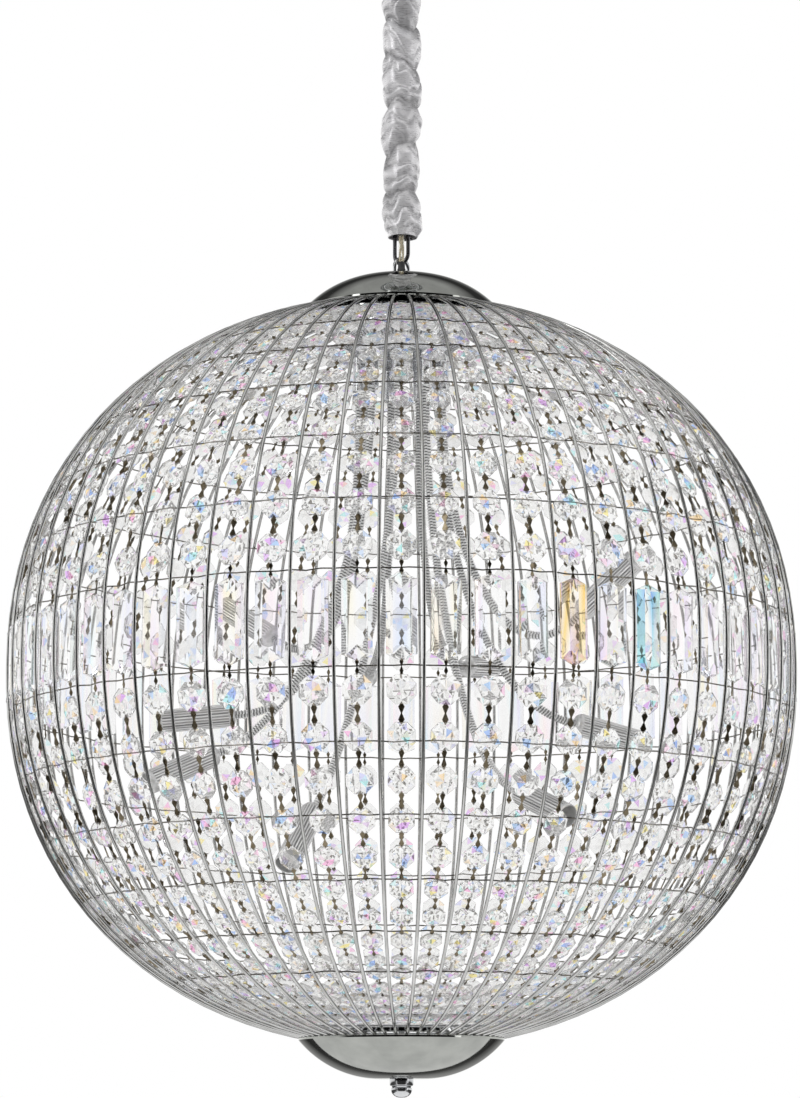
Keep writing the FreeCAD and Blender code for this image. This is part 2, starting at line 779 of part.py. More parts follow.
def meridian_points(radius):
    """Corners of a rib from the south end to the north end, in the XZ plane.

    The run across the belt is upright and touches the globe at the equator. The other
    corners stand out of the globe by as much as the middles of the runs lie inside it.
    """
    belt, end = math.radians(size("rib_belt_angle")), math.radians(size("rib_end_angle"))
    steps = int(size("rib_curve_steps"))
    step = (end - belt) / steps
    lift = 1 + (1 - math.cos(step / 2)) / 2
    pole = radius - size("pole_flattening")
    bend = size("meridian_bend_share")
    north = [(radius, radius * math.tan(belt))]
    for index in range(1, steps + 1):
        angle = belt + index * step
        reach = 1.0 if index == steps else lift
        north.append((radius * reach * math.cos(angle) ** bend,
                      pole * reach * math.sin(angle) ** bend))
    south = [(across, -up) for across, up in north[::-1]]
    return south + north


def across_at(points, height):
    """Distance from the axis of a rib's corner line at a height."""
    for (near, low), (far, high) in zip(points, points[1:]):
        if low <= height <= high:
            return near + (far - near) * (height - low) / (high - low)
    raise ValueError("no rib at this height")


def make_ribs():
    """Sixty rods along meridians, half a pitch off the X axis."""
    body = new_body("rib_cage")
    belt, end = "rib_belt_angle * 1 deg", "rib_end_angle * 1 deg"
    steps = int(size("rib_curve_steps"))
    step = "((rib_end_angle - rib_belt_angle) / rib_curve_steps)"
    lift = "(1 + (1 - cos(%s / 2 * 1 deg)) / 2)" % step
    sketch = new_sketch(body, "rib_side", "XZ_Plane")
    sides = []
    for radius in ("globe_radius", RIB_INNER):
        north = [(radius, "%s * tan(%s)" % (radius, belt))]
        for index in range(1, steps + 1):
            angle = "(rib_belt_angle + %d * %s) * 1 deg" % (index, step)
            if index == steps:
                angle = end
            reach = "1" if index == steps else lift
            bend = "^ meridian_bend_share * %s" % reach
            north.append(("%s * cos(%s) %s" % (radius, angle, bend),
                          "(%s - pole_flattening) * sin(%s) %s" % (radius, angle, bend)))
        south = [(across, "-%s" % up) for across, up in north[::-1]]
        sides.append(south + north)
    outline(sketch, sides[0] + sides[1][::-1])
    rib = pad(body, sketch, "rib_thickness", middle=True)
    doc.recompute()
    around(body, rib, "rib_count")
    to_globe(body)
    body.setExpression("Placement.Rotation.Angle", bind("180 / rib_count"))


def make_rings():
    """Wire rings inside the rods, each a chain of chords with its corners at the rods."""
    wire, gap = size("ring_wire"), size("seat_gap")
    inner_line = meridian_points(size(RIB_INNER))
    rings = []
    for latitude in RING_LATITUDES:
        middle = size("globe_radius") * math.sin(math.radians(latitude))
        radius = across_at(inner_line, middle + wire / 2) - gap
        for sign in (-1, 1):
            low = sign * middle - wire / 2
            sides = RING_SIDES if latitude < SMALL_RING_LATITUDE else SMALL_RING_SIDES
            rings.append(chorded([(radius - wire, low), (radius, low), (radius, low + wire),
                                  (radius - wire, low + wire)], sides,
                                 turn=180.0 / size("rib_count")))
    formed("spacer_rings", Part.makeCompound(rings))


def ring_radius(latitude):
    """Middle of a ring's wire, from the axis, at one of its corners."""
    inner_line = meridian_points(size(RIB_INNER))
    middle = size("globe_radius") * math.sin(math.radians(latitude))
    wire = size("ring_wire")
    return across_at(inner_line, middle + wire / 2) - size("seat_gap") - wire / 2


def make_prisms():
    """The belt: one long crystal in each gap, with pointed ends that hang between two rings."""
    body = new_body("crystal_prisms")
    ring = "(globe_radius * sin(%g deg) - ring_wire / 2 - seat_gap)" % RING_LATITUDES[0]
    plan = new_sketch(body, "prism_front", "YZ_Plane")
    half = "prism_width / 2"
    shoulder = "(prism_length / 2 - prism_width * prism_point_share)"
    outline(plan, [
        ("-%s" % half, "-%s" % shoulder),
        ("0", "-%s" % ring),
        (half, "-%s" % shoulder),
        (half, shoulder),
        ("0", ring),
        ("-%s" % half, shoulder),
    ])
    radius = ring_radius(RING_LATITUDES[0]) * math.cos(math.pi / RING_SIDES)
    plan.AttachmentOffset = FreeCAD.Placement(Vector(0, 0, radius), FreeCAD.Rotation())
    prism = pad(body, plan, "prism_depth", middle=True)
    doc.recompute()
    around(body, prism, "rib_count")
    to_globe(body)


def strand_shape(sign):
    """One string of crystals as a slim bar with a ridge outside, from the belt to a cap."""
    start = math.radians(size("strand_start_angle"))
    end = math.radians(size("strand_end_angle"))
    base_line = meridian_points(size(RIB_INNER) + size("seat_gap") + size("ring_wire") / 2)
    ridge_line = meridian_points(size(RIB_INNER) + size("seat_gap") + size("strand_depth"))

    def crossing(points, angle):
        for near, far in zip(points, points[1:]):
            low, high = math.atan2(near[1], near[0]), math.atan2(far[1], far[0])
            if low <= angle <= high:
                a, b = math.tan(angle), (far[1] - near[1]) / (far[0] - near[0] or 1e-12)
                across = (near[1] - b * near[0]) / (a - b)
                return (across, across * a)
        raise ValueError("no rib at this angle")

    angles = [start]
    angles += [math.atan2(up, across) for across, up in base_line
               if start < math.atan2(up, across) < end]
    angles.append(end)
    wide, narrow = size("strand_width") / 2, size("strand_end_width") / 2
    sections = []
    for angle in angles:
        base, ridge = crossing(base_line, angle), crossing(ridge_line, angle)
        half = narrow + (wide - narrow) * min(1.0, math.cos(angle) - math.cos(end))
        sections.append([Vector(base[0], -half, sign * base[1]),
                         Vector(base[0], half, sign * base[1]),
                         Vector(ridge[0], 0, sign * ridge[1])])
    faces = []
    for near, far in zip(sections, sections[1:]):
        for side in range(3):
            turn_on = (side + 1) % 3
            quad = [near[side], near[turn_on], far[turn_on], far[side]]
            faces.append(flat_face(quad[:3]))
            faces.append(flat_face([quad[0], quad[2], quad[3]]))
    faces.append(flat_face(sections[0]))
    faces.append(flat_face(sections[-1]))
    return solid_of(faces)


def make_strands():
    count = int(size("rib_count"))
    for label, sign in (("upper_crystal_strands", 1), ("lower_crystal_strands", -1)):
        strand = strand_shape(sign)
        formed(label, Part.makeCompound([turned_about_axis(strand, 360.0 * index / count)
                                         for index in range(count)]))


def annulus(outer, inner, low, high):
    return chorded([(inner, low), (outer, low), (outer, high), (inner, high)])


def cap_profile():
    """Half section of a spun cap from its rim up to the flat land in its middle."""
    radius = size("cap_radius")
    rim, rise, wall = size(CAP_RIM), size("cap_rise"), size("cap_wall")
    edge, land = size("cap_rim_height"), size("cap_land_radius")
    middle = (radius + land) / 2
    swell = rim + edge + (rise - edge) * size("cap_swell_share")
    return [
        (radius - wall, rim),
        (radius, rim),
        (radius, rim + edge),
        (middle, swell),
        (land, rim + rise),
        (0.0, rim + rise),
        (0.0, rim + rise - wall),
        (land - wall, rim + rise - wall),
        (middle - wall, swell - wall),
        (radius - wall, rim + edge - wall / 2),
    ]


def make_crown():
    """Collar under the rods, hub plate, washer and top cap."""
    top = size(COLLAR_TOP)
    bottom = size(HUB_TOP)
    formed("upper_collar", annulus(size("collar_radius"), size("collar_inner_radius"), bottom, top))
    hub_low, hub_high = size(HUB_BOTTOM), size(HUB_TOP)
    hub = chorded([(0.0, hub_low), (size("hub_radius"), hub_low), (size("hub_radius"), hub_high),
                   (0.0, hub_high)])
    cap = chorded(cap_profile())
    washer_low, washer_high = size(CAP_TOP), size(WASHER_TOP)
    washer = chorded([(0.0, washer_low), (size("washer_radius"), washer_low),
                      (size("washer_radius"), washer_high), (0.0, washer_high)],
                     sides=RIM_SIDES // 2)
    over = size("overrun")
    for label, shape in (("arm_hub", hub), ("top_cap", cap), ("cap_washer", washer)):
        box = shape.BoundBox
        for cutter in leg_cutters(box.ZMin - over, box.ZMax + over, GLOBE_LOOP_TURN):
            shape = shape.cut(cutter)
        formed(label, shape)
    floor, rim = size(BOWL_BOTTOM), size(HUB_BOTTOM)
    wall = size("bowl_wall")
    outer, low = size("bowl_radius"), size("bowl_floor_radius")
    formed("hub_bowl", chorded([
        (outer - wall, rim),
        (outer, rim),
        (low, floor),
        (0.0, floor),
        (0.0, floor + wall),
        (low - wall, floor + wall),
    ]))
    box = box_body("junction_block", "-junction_length / 2", "junction_length / 2",
                   "-junction_width / 2", "junction_width / 2", BOWL_BOTTOM + " + bowl_wall",
                   BOWL_BOTTOM + " + bowl_wall + junction_height")
    to_globe(box)


def lamp_frame(index):
    """Back of a lamp and the way that its mouth points."""
    azimuth, elevation, out_share, up_share = LAMP_POSE_SHARES[index]
    azimuth, elevation = math.radians(azimuth), math.radians(elevation)
    radius = size("globe_radius")
    back = Vector(out_share * radius * math.cos(azimuth), out_share * radius * math.sin(azimuth),
                  up_share * radius)
    way = Vector(math.cos(elevation) * math.cos(azimuth), math.cos(elevation) * math.sin(azimuth),
                 math.sin(elevation))
    return back, way


def neck_points(index):
    """The bend of a flexible neck from its ferrule to the back of its lamp."""
    spread = math.radians(FIRST_FERRULE_ANGLE + 360.0 * index / size("lamp_count"))
    circle_radius = size("ferrule_circle")
    start = Vector(circle_radius * math.cos(spread), circle_radius * math.sin(spread),
                   size(FERRULE_END))
    back, way = lamp_frame(index)
    leave = start - Vector(0, 0, size("neck_lead"))
    fall = start - Vector(0, 0, size("neck_fall"))
    reach = back - way * size("neck_reach")
    arrive = back - way * size("neck_lead")
    steps = int(size("neck_steps"))
    points = [start]
    for step in range(steps + 1):
        part = step / steps
        rest = 1 - part
        points.append(leave * rest ** 3 + fall * (3 * rest ** 2 * part)
                      + reach * (3 * rest * part ** 2) + arrive * part ** 3)
    return points + [back]


def make_arms():
    count = int(size("lamp_count"))
    body = new_body("arm_ferrules")
    sketch = new_sketch(body, "ferrule_plan", "XY_Plane", FERRULE_END)
    sides = []
    for corner, up in polygon(ROUND_SIDES, "ferrule_radius"):
        angle = "%g deg" % FIRST_FERRULE_ANGLE
        sides.append(("ferrule_circle * cos(%s) + %s" % (angle, corner),
                      "ferrule_circle * sin(%s) + %s" % (angle, up)))
    outline(sketch, sides)
    ferrule = pad(body, sketch, "ferrule_length")
    doc.recompute()
    around(body, ferrule, "lamp_count")
    to_globe(body)
    necks = []
    for index in range(count):
        necks.append(rod(neck_points(index), size("neck_radius"), int(size("neck_sides")),
                         flat=Vector(1, 0, 0)))
    formed("goosenecks", Part.makeCompound(necks))


def lamp_placement(index):
    back, way = lamp_frame(index)
    turn = FreeCAD.Rotation(Vector(0, 0, 1), way)
    return FreeCAD.Placement(back - Vector(0, 0, ceiling), turn)


def make_cover(index):
    """Fluted chrome sleeve of one lamp, drawn standing on its back."""
    body = new_body("lamp_cover_%02d" % (index + 1))
    plan = new_sketch(body, "flutes", "XY_Plane")
    flutes = int(size("cover_flute_count"))
    crests = polygon(flutes, "cover_radius")
    troughs = polygon(flutes, "(cover_radius - cover_flute_depth)", 180.0 / flutes)
    outline(plan, [corner for pair in zip(crests, troughs) for corner in pair])
    pad(body, plan, "cover_length")
    seat = new_sketch(body, "seat", "XY_Plane", "cover_back_wall")
    outline(seat, polygon(ROUND_SIDES, "seat_radius"))
    pocket(body, seat, "cover_length", reverse=True)
    recess = new_sketch(body, "recess", "XY_Plane", "cover_length - recess_depth")
    circle(recess, "0", "0", "recess_radius")
    pocket(body, recess, "recess_depth + overrun", reverse=True)
    body.Placement = lamp_placement(index)


def make_socket(index):
    """Ceramic two-pin lamp socket, seated on the back wall of its cover."""
    body = new_body("lamp_socket_%02d" % (index + 1))
    plan = new_sketch(body, "block", "XY_Plane", "cover_back_wall")
    outline(plan, polygon(ROUND_SIDES, "(seat_radius - seat_gap)"))
    pad(body, plan, "cover_length - cover_back_wall - recess_depth")
    pins = new_sketch(body, "pins", "XY_Plane", "cover_length - recess_depth - pin_hole_depth")
    half = "pin_hole / 2"
    for sign in ("", "-"):
        middle = "%spin_spacing / 2" % sign
        outline(pins, rectangle("%s - %s" % (middle, half), "%s + %s" % (middle, half),
                                "-%s" % half, half))
    pocket(body, pins, "pin_hole_depth + overrun", reverse=True)
    body.Placement = lamp_placement(index)


def make_base():
    """Collar, crossbar, stud, cap and finial at the bottom of the globe."""
    top = -size(COLLAR_TOP)
    bottom = -size(HUB_TOP)
    formed("lower_collar", annulus(size("collar_radius"), size("collar_inner_radius"), top, bottom))
    half, width = "crossbar_half_length", "crossbar_width / 2"
    bar = box_body("bottom_crossbar", "-" + half, half, "-" + width, width, "-" + HUB_TOP,
                   "-%s + crossbar_thickness" % HUB_TOP)
    to_globe(bar)
    doc.recompute()
    hole = new_sketch(bar, "stud_hole", "XY_Plane", "-%s" % HUB_TOP)
    circle(hole, "0", "0", "stud_radius")
    pocket(bar, hole, "crossbar_thickness + overrun", reverse=True)
    to_globe(turned("bottom_stud", [
        ("0", "-%s - stud_reach" % CAP_TOP),
        ("stud_radius", "-%s - stud_reach" % CAP_TOP),
        ("stud_radius", "-%s + crossbar_thickness" % HUB_TOP),
        ("0", "-%s + crossbar_thickness" % HUB_TOP),
    ]))
    cap = chorded([(radius, -height) for radius, height in cap_profile()])
    over = size("overrun")
    reach = size("stud_radius + seat_gap") / math.cos(math.pi / ROUND_SIDES)
    corners = ring_corners(reach, -size(CAP_TOP) - over, ROUND_SIDES, 0.0)
    drill = flat_face(corners).extrude(Vector(0, 0, size("cap_wall") + 2 * over))
    formed("bottom_cap", cap.cut(drill))
    top, radius, tip = -size(CAP_TOP), size("finial_radius"), size("finial_tip_radius")
    neck, tall = size("finial_neck_height"), size("finial_height")
    shoulder = tip + (radius - tip) * size("finial_shoulder_share")
    drop = neck + (tall - neck) * size("finial_drop_share")
    bore = size("stud_radius + seat_gap")
    deep = size("stud_reach + overrun")
    formed("finial", chorded([
        (bore, top),
        (radius, top),
        (radius, top - neck),
        (shoulder, top - drop),
        (tip, top - tall),
        (0.0, top - tall),
        (0.0, top - deep),
        (bore, top - deep),
    ], FINIAL_SIDES))


def check_pieces():
    """Stop if any object failed or any piece has no sound shape."""
    for item in doc.Objects:
        if "Invalid" in item.State or "Error" in item.State:
            raise RuntimeError("%s is %s" % (item.Label, item.State))
    for piece in pieces:
        if piece.Shape.isNull() or not piece.Shape.isValid() or not piece.Shape.Solids:
            raise RuntimeError("%s has no sound shape" % piece.Label)


make_bracket()
make_canopy()
make_canopy_contents()
make_suspension()
make_sleeve()
make_cable()
make_gland()
make_ribs()
make_rings()
make_prisms()
make_strands()
make_crown()
make_arms()
for lamp in range(int(size("lamp_count"))):
    make_cover(lamp)
    make_socket(lamp)
make_base()
doc.recompute()
check_pieces()

os.makedirs("parts", exist_ok=True)
for piece in pieces:
    piece.Shape.exportStep("parts/%s.step" % piece.Label)
print("%d pieces, ceiling %.1f above the centre of the globe" % (len(pieces), ceiling))
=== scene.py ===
import json
import math
import random

import bpy
from mathutils import Matrix, Vector, noise


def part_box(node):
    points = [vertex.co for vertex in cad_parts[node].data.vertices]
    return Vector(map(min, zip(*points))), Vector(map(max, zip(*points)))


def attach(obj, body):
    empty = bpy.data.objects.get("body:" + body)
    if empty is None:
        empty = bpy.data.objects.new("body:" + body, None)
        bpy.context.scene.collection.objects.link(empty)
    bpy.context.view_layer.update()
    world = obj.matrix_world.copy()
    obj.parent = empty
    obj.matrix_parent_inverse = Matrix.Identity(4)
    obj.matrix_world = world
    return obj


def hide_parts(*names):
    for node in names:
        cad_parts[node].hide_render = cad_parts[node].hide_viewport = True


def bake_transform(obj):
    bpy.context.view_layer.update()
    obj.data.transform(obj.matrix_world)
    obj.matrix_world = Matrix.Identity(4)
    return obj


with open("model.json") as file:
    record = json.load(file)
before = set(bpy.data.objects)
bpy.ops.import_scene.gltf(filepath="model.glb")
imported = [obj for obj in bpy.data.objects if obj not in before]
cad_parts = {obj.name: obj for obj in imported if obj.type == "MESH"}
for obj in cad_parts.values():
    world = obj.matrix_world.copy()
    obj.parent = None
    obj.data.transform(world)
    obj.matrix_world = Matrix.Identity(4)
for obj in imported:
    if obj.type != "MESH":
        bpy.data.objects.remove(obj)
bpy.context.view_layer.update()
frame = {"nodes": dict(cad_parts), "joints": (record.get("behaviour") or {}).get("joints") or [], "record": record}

# Everything below is in metres and radians, unless a comment says otherwise, in the frame of
# the CAD: +Z up, the front faces -Y.
MM = 0.001
GLOBE_RADIUS = 250 * MM
POLE_FLATTENING = 13 * MM
BEND_POWER = 2 / 0.93  # of the meridian's curve, where 2 would make an ellipse
ROD_RADIUS = 1.08 * MM
ROD_COUNT = 60
PITCH = 2 * math.pi / ROD_COUNT
FRONT = -math.pi / 2
BUMP_DEPTH = 0.2 * MM

globe_low, globe_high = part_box("rib_cage")
CENTRE = Vector((0, 0, (globe_low[2] + globe_high[2]) / 2))

chance = random.Random(11)  # draws every tilt and tint, in the order of the calls below


# Materials

def add_node(tree, kind, sockets, **settings):
    """A shader node. A socket is set to its value, or linked where that is another's output."""
    made = tree.nodes.new("ShaderNode" + kind)
    for name, value in settings.items():
        setattr(made, name, value)
    for name, value in sockets.items():
        if isinstance(value, bpy.types.NodeSocket):
            tree.links.new(value, made.inputs[name])
        else:
            made.inputs[name].default_value = value
    return made


def new_material(name):
    """A material and its empty node tree."""
    material = bpy.data.materials.new(name)
    material.use_nodes = True
    material.node_tree.nodes.clear()
    return material, material.node_tree


def shaded(material, sockets):
    """The material, with a Principled shader at its output."""
    tree = material.node_tree
    shader = add_node(tree, "BsdfPrincipled", sockets)
    add_node(tree, "OutputMaterial", {0: shader.outputs[0]})
    return material


def object_place(tree):
    """Where a noise is looked up."""
    return add_node(tree, "TexCoord", {}).outputs["Object"]


def noise_node(tree, scale, detail=3.0, stretch=None):
    """Noise in object space, stretched if asked."""
    place = object_place(tree)
    if stretch:
        place = add_node(tree, "Mapping", {"Vector": place, "Scale": stretch}).outputs["Vector"]
    texture = add_node(tree, "TexNoise", {"Vector": place, "Scale": scale, "Detail": detail})
    return texture.outputs["Fac"]


def ramp_node(tree, source, stops):
    """A colour ramp from (position, colour) stops."""
    ramp = add_node(tree, "ValToRGB", {0: source})
    elements = ramp.color_ramp.elements
    while len(elements) > 1:
        elements.remove(elements[0])
    for index, (position, colour) in enumerate(stops):
        element = elements.new(position) if index else elements[0]
        element.position = position
        element.color = (*colour, 1.0)
    return ramp.outputs["Color"]


def range_node(tree, source, low, high):
    """The middle of a noise's range, spread from low to high."""
    return add_node(tree, "MapRange", {"Value": source, "From Min": 0.3, "From Max": 0.7,
                                       "To Min": low, "To Max": high}).outputs["Result"]


def bump_node(tree, source, strength):
    """Fine relief, for a shader's normal."""
    return add_node(tree, "Bump", {"Height": source, "Strength": strength,
                                   "Distance": BUMP_DEPTH}).outputs["Normal"]


def facet_colour(tree):
    """The tint that each face of a mesh carries."""
    return add_node(tree, "Attribute", {}, attribute_name="facet").outputs["Color"]


def times_facet(tree, colour):
    """A colour times the faces' tint."""
    mix = add_node(tree, "Mix", {"Factor": 1.0, "A": colour, "B": facet_colour(tree)},
                   data_type="RGBA", blend_type="MULTIPLY")
    return mix.outputs["Result"]


def metal(name, dark, light, rough_low, rough_high, stretch=None, groove_shaded=False, metallic=1.0):
    """Metal with faint clouding, uneven polish and fine scratches; where asked, each face's tint darkens its
    colour, which paints shade into its grooves.
    """
    material, tree = new_material(name)
    cloud = noise_node(tree, scale=70.0, stretch=stretch)
    colour = ramp_node(tree, cloud, [(0.35, dark), (0.65, light)])
    polish = noise_node(tree, scale=350.0, detail=4.0, stretch=stretch)
    scratches = noise_node(tree, scale=1800.0, detail=2.0, stretch=stretch)
    return shaded(material, {
        "Metallic": metallic,
        "Base Color": times_facet(tree, colour) if groove_shaded else colour,
        "Roughness": range_node(tree, polish, rough_low, rough_high),
        "Normal": bump_node(tree, scratches, strength=0.02),
    })


def plastic(name, dark, light, rough, clear=0.0, coat=0.0):
    """Moulded plastic or glazed ceramic with a fine grain."""
    material, tree = new_material(name)
    cloud = noise_node(tree, scale=120.0)
    grain = noise_node(tree, scale=1200.0, detail=2.0)
    return shaded(material, {
        "Coat Weight": coat, "Transmission Weight": clear,
        "Base Color": ramp_node(tree, cloud, [(0.3, dark), (0.7, light)]),
        "Roughness": range_node(tree, grain, rough * 0.8, rough * 1.2),
        "Normal": bump_node(tree, grain, strength=0.08),
    })


def crystal(name, ior, clear):
    """Cut glass, partly veiled. Each facet keeps the faint tint that its coating gives it."""
    material, tree = new_material(name)
    flaws = noise_node(tree, scale=900.0, detail=2.0)
    return shaded(material, {
        "Transmission Weight": clear, "IOR": ior, "Base Color": facet_colour(tree),
        "Roughness": range_node(tree, flaws, 0.0, 0.03),
    })


def silk(name):
    """Silver-grey silk: a fine weave, with long threads that vary its roughness and lighten its colour in painted
    sheen.
    """
    material, tree = new_material(name)
    cloud = noise_node(tree, scale=160.0, detail=4.0)
    threads_and_sheen = noise_node(tree, scale=900.0, detail=2.0, stretch=(0.25, 0.25, 3.0))
    tone_and_sheen = add_node(tree, "Math", {0: cloud, 1: threads_and_sheen}, operation="ADD")
    # Painted sheen: the colour lightens along the threads, over a clouded tone.
    colour = ramp_node(tree, tone_and_sheen.outputs[0],
                       [(0.75, (0.62, 0.61, 0.63)), (1.0, (0.95, 0.94, 0.96))])
    weave = add_node(tree, "TexWave", {"Vector": object_place(tree), "Scale": 900.0,
                                       "Distortion": 3.0}, bands_direction="Z")
    return shaded(material, {
        "Sheen Weight": 0.3, "Sheen Roughness": 0.35, "Metallic": 0.6,
        "Base Color": times_facet(tree, colour),
        "Roughness": range_node(tree, threads_and_sheen, 0.24, 0.4),
        "Normal": bump_node(tree, weave.outputs["Fac"], strength=0.12),
    })


# A metal's noise moves between two colours and two roughnesses.
CHROME = metal("chrome_polished", (0.62, 0.63, 0.65), (0.78, 0.79, 0.8), 0.03, 0.09)
CAP_CHROME = metal("chrome_cap", (0.38, 0.39, 0.37), (0.47, 0.48, 0.455), 0.03, 0.08)
ROD_CHROME = metal("chrome_rod", (0.52, 0.52, 0.51), (0.68, 0.68, 0.67), 0.03, 0.07,
                   stretch=(1.0, 1.0, 0.2))
# The hose and the fluted sleeve carry painted shade in their grooves through their faces' tints.
HOSE_CHROME = metal("chrome_hose", (0.82, 0.82, 0.82), (0.95, 0.95, 0.94), 0.22, 0.34,
                    groove_shaded=True, metallic=0.4)
FLUTED_CHROME = metal("chrome_fluted", (0.8, 0.8, 0.8), (0.94, 0.94, 0.93), 0.1, 0.2,
                      groove_shaded=True, metallic=0.6)
WIRE = metal("bronze_wire", (0.12, 0.11, 0.095), (0.24, 0.22, 0.19), 0.2, 0.35)
PIN = metal("bronze_pin", (0.09, 0.072, 0.045), (0.3, 0.25, 0.17), 0.18, 0.32)
DARK = metal("dark_nickel", (0.1, 0.1, 0.11), (0.2, 0.2, 0.21), 0.2, 0.35)
ZINC = metal("zinc_plate", (0.45, 0.46, 0.47), (0.6, 0.61, 0.62), 0.28, 0.42)
BLACK = plastic("black_grip", (0.02, 0.02, 0.02), (0.05, 0.05, 0.05), 0.5)
WHITE = plastic("white_housing", (0.74, 0.74, 0.72), (0.84, 0.84, 0.82), 0.45)
CERAMIC = plastic("ceramic", (0.7, 0.69, 0.66), (0.84, 0.83, 0.8), 0.3, coat=0.3)
JACKET = plastic("clear_jacket", (0.9, 0.88, 0.78), (0.97, 0.96, 0.9), 0.08, clear=0.92)
CORE = plastic("cable_core", (0.5, 0.42, 0.28), (0.7, 0.62, 0.45), 0.35)
BEAD_GLASS = crystal("octagon_crystal", ior=1.13, clear=0.87)
CREST_GLASS = crystal("crest_crystal", ior=1.13, clear=0.76)
PRISM_GLASS = crystal("prism_crystal", ior=1.17, clear=0.94)
SILK = silk("silver_silk")


# Mesh helpers

def new_object(name, data):
    """An object in the scene."""
    made = bpy.data.objects.new(name, data)
    bpy.context.collection.objects.link(made)
    return made


def polar(radius, angle, height=0.0):
    """A point by its distance from the Z axis, its angle round it and its height."""
    return Vector((radius * math.cos(angle), radius * math.sin(angle), height))


class Build:
    """Gathers corners and faces, with a tint for each face."""

    def __init__(self):
        self.points, self.faces, self.tints = [], [], []

    def add(self, points, faces, matrix=None, tints=None):
        start = len(self.points)
        if matrix is not None:
            points = [matrix @ Vector(point) for point in points]
        self.points += [tuple(point) for point in points]
        self.faces += [tuple(start + corner for corner in face) for face in faces]
        if tints:
            self.tints += tints

    def finish(self, name, material, body, slot, smooth=None):
        """Make the object; body is None for a piece that bends between two bodies.

        smooth is the angle in degrees over which an edge stays sharp.
        """
        mesh = bpy.data.meshes.new(name)
        mesh.from_pydata(self.points, [], self.faces)
        if self.tints:
            layer = mesh.attributes.new("facet", "FLOAT_COLOR", "CORNER")
            values = []
            for face, tint in zip(self.faces, self.tints):
                corners = tint if isinstance(tint, list) else [tint] * len(face)
                for colour in corners:
                    values += (*colour, 1.0)
            layer.data.foreach_set("color", values)
        mesh.validate()
        if smooth is None:
            mesh.shade_flat()
        else:
            mesh.shade_smooth()
            mesh.set_sharp_from_angle(angle=math.radians(smooth))
        mesh.update()
        made = new_object(name, mesh)
        made.data.materials.append(material)
        if body:
            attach(made, body)
        return made


def lathe(profile, sides, flutes=None):
    """Corners and faces of a closed profile of (radius, height) turned about Z.

    flutes, if given, maps a profile index and an angle to a change of radius.
    """
    points, rings = [], []
    for index, (radius, height) in enumerate(profile):
        if radius <= 0:
            rings.append([len(points)])
            points.append((0, 0, height))
            continue
        ring = []
        for side in range(sides):
            angle = 2 * math.pi * side / sides
            reach = radius + (flutes(index, angle) if flutes else 0.0)
            ring.append(len(points))
            points.append(polar(reach, angle, height))
        rings.append(ring)
    faces = []
    for index, near in enumerate(rings):
        far = rings[(index + 1) % len(rings)]
        if len(near) == 1 and len(far) == 1:
            continue
        for side in range(sides):
            turn_on = (side + 1) % sides
            if len(near) == 1:
                faces.append((near[0], far[turn_on], far[side]))
            elif len(far) == 1:
                faces.append((near[side], near[turn_on], far[0]))
            else:
                faces.append((near[side], near[turn_on], far[turn_on], far[side]))
    return points, faces


def out_facing(profile):
    """Order a closed profile so that its faces look out of the solid."""
    area = 0.0
    for (near, low), (far, high) in zip(profile, profile[1:] + profile[:1]):
        area += near * high - far * low
    return profile if area > 0 else profile[::-1]


def frames_along(path, closed=False):
    """Directions across a path, carried along it without twist."""
    count = len(path)
    headings = []
    for index in range(count):
        before = path[index - 1] if closed or index else path[0]
        after = path[(index + 1) % count] if closed or index < count - 1 else path[-1]
        headings.append((after - before).normalized())
    guide = Vector((0, 0, 1)) if abs(headings[0].z) < 0.9 else Vector((1, 0, 0))
    across = (guide - headings[0] * guide.dot(headings[0])).normalized()
    frames = []
    for heading in headings:
        across = (across - heading * across.dot(heading)).normalized()
        frames.append((heading, across, heading.cross(across)))
    return frames


def tube(path, radius, sides, closed=False):
    """A round tube along a path; radius is a number or maps a point's and a side's index."""
    points, faces = [], []
    for index, (place, (heading, across, up)) in enumerate(zip(path, frames_along(path, closed))):
        for side in range(sides):
            angle = 2 * math.pi * side / sides
            reach = radius(index, side) if callable(radius) else radius
            points.append(place + across * (reach * math.cos(angle))
                          + up * (reach * math.sin(angle)))
    runs = len(path) if closed else len(path) - 1
    for index in range(runs):
        near, far = index * sides, (index + 1) % len(path) * sides
        for side in range(sides):
            turn_on = (side + 1) % sides
            faces.append((near + side, near + turn_on, far + turn_on, far + side))
    if not closed:
        faces.append(tuple(range(sides))[::-1])
        last = (len(path) - 1) * sides
        faces.append(tuple(last + side for side in range(sides)))
    return points, faces


def meridian(latitude, radius):
    """Distance from the axis and height of a point over the globe, which is flat at its poles."""
    pole = radius - POLE_FLATTENING
    across, up = math.cos(latitude) / radius, abs(math.sin(latitude)) / pole
    reach = (across ** BEND_POWER + up ** BEND_POWER) ** (-1 / BEND_POWER)
    return reach * math.cos(latitude), reach * math.sin(latitude)


def on_globe(azimuth, latitude, radius):
    """A point over the globe, angles in radians, radius its distance at the equator."""
    reach, height = meridian(latitude, radius)
    return CENTRE + polar(reach, azimuth, height)


def facing(azimuth, latitude, radius):
    """A matrix whose X runs along the parallel, Y north and Z out of the globe."""
    reach, height = meridian(latitude, radius)
    rise = math.copysign((abs(height) / (radius - POLE_FLATTENING)) ** (BEND_POWER - 1), height)
    slope = math.atan2(rise / (radius - POLE_FLATTENING),
                       (reach / radius) ** (BEND_POWER - 1) / radius)
    out = polar(math.cos(slope), azimuth, math.sin(slope))
    east = Vector((-math.sin(azimuth), math.cos(azimuth), 0))
    turn = Matrix((east, out.cross(east), out)).transposed()
    return Matrix.Translation(on_globe(azimuth, latitude, radius)) @ turn.to_4x4()


# The cage

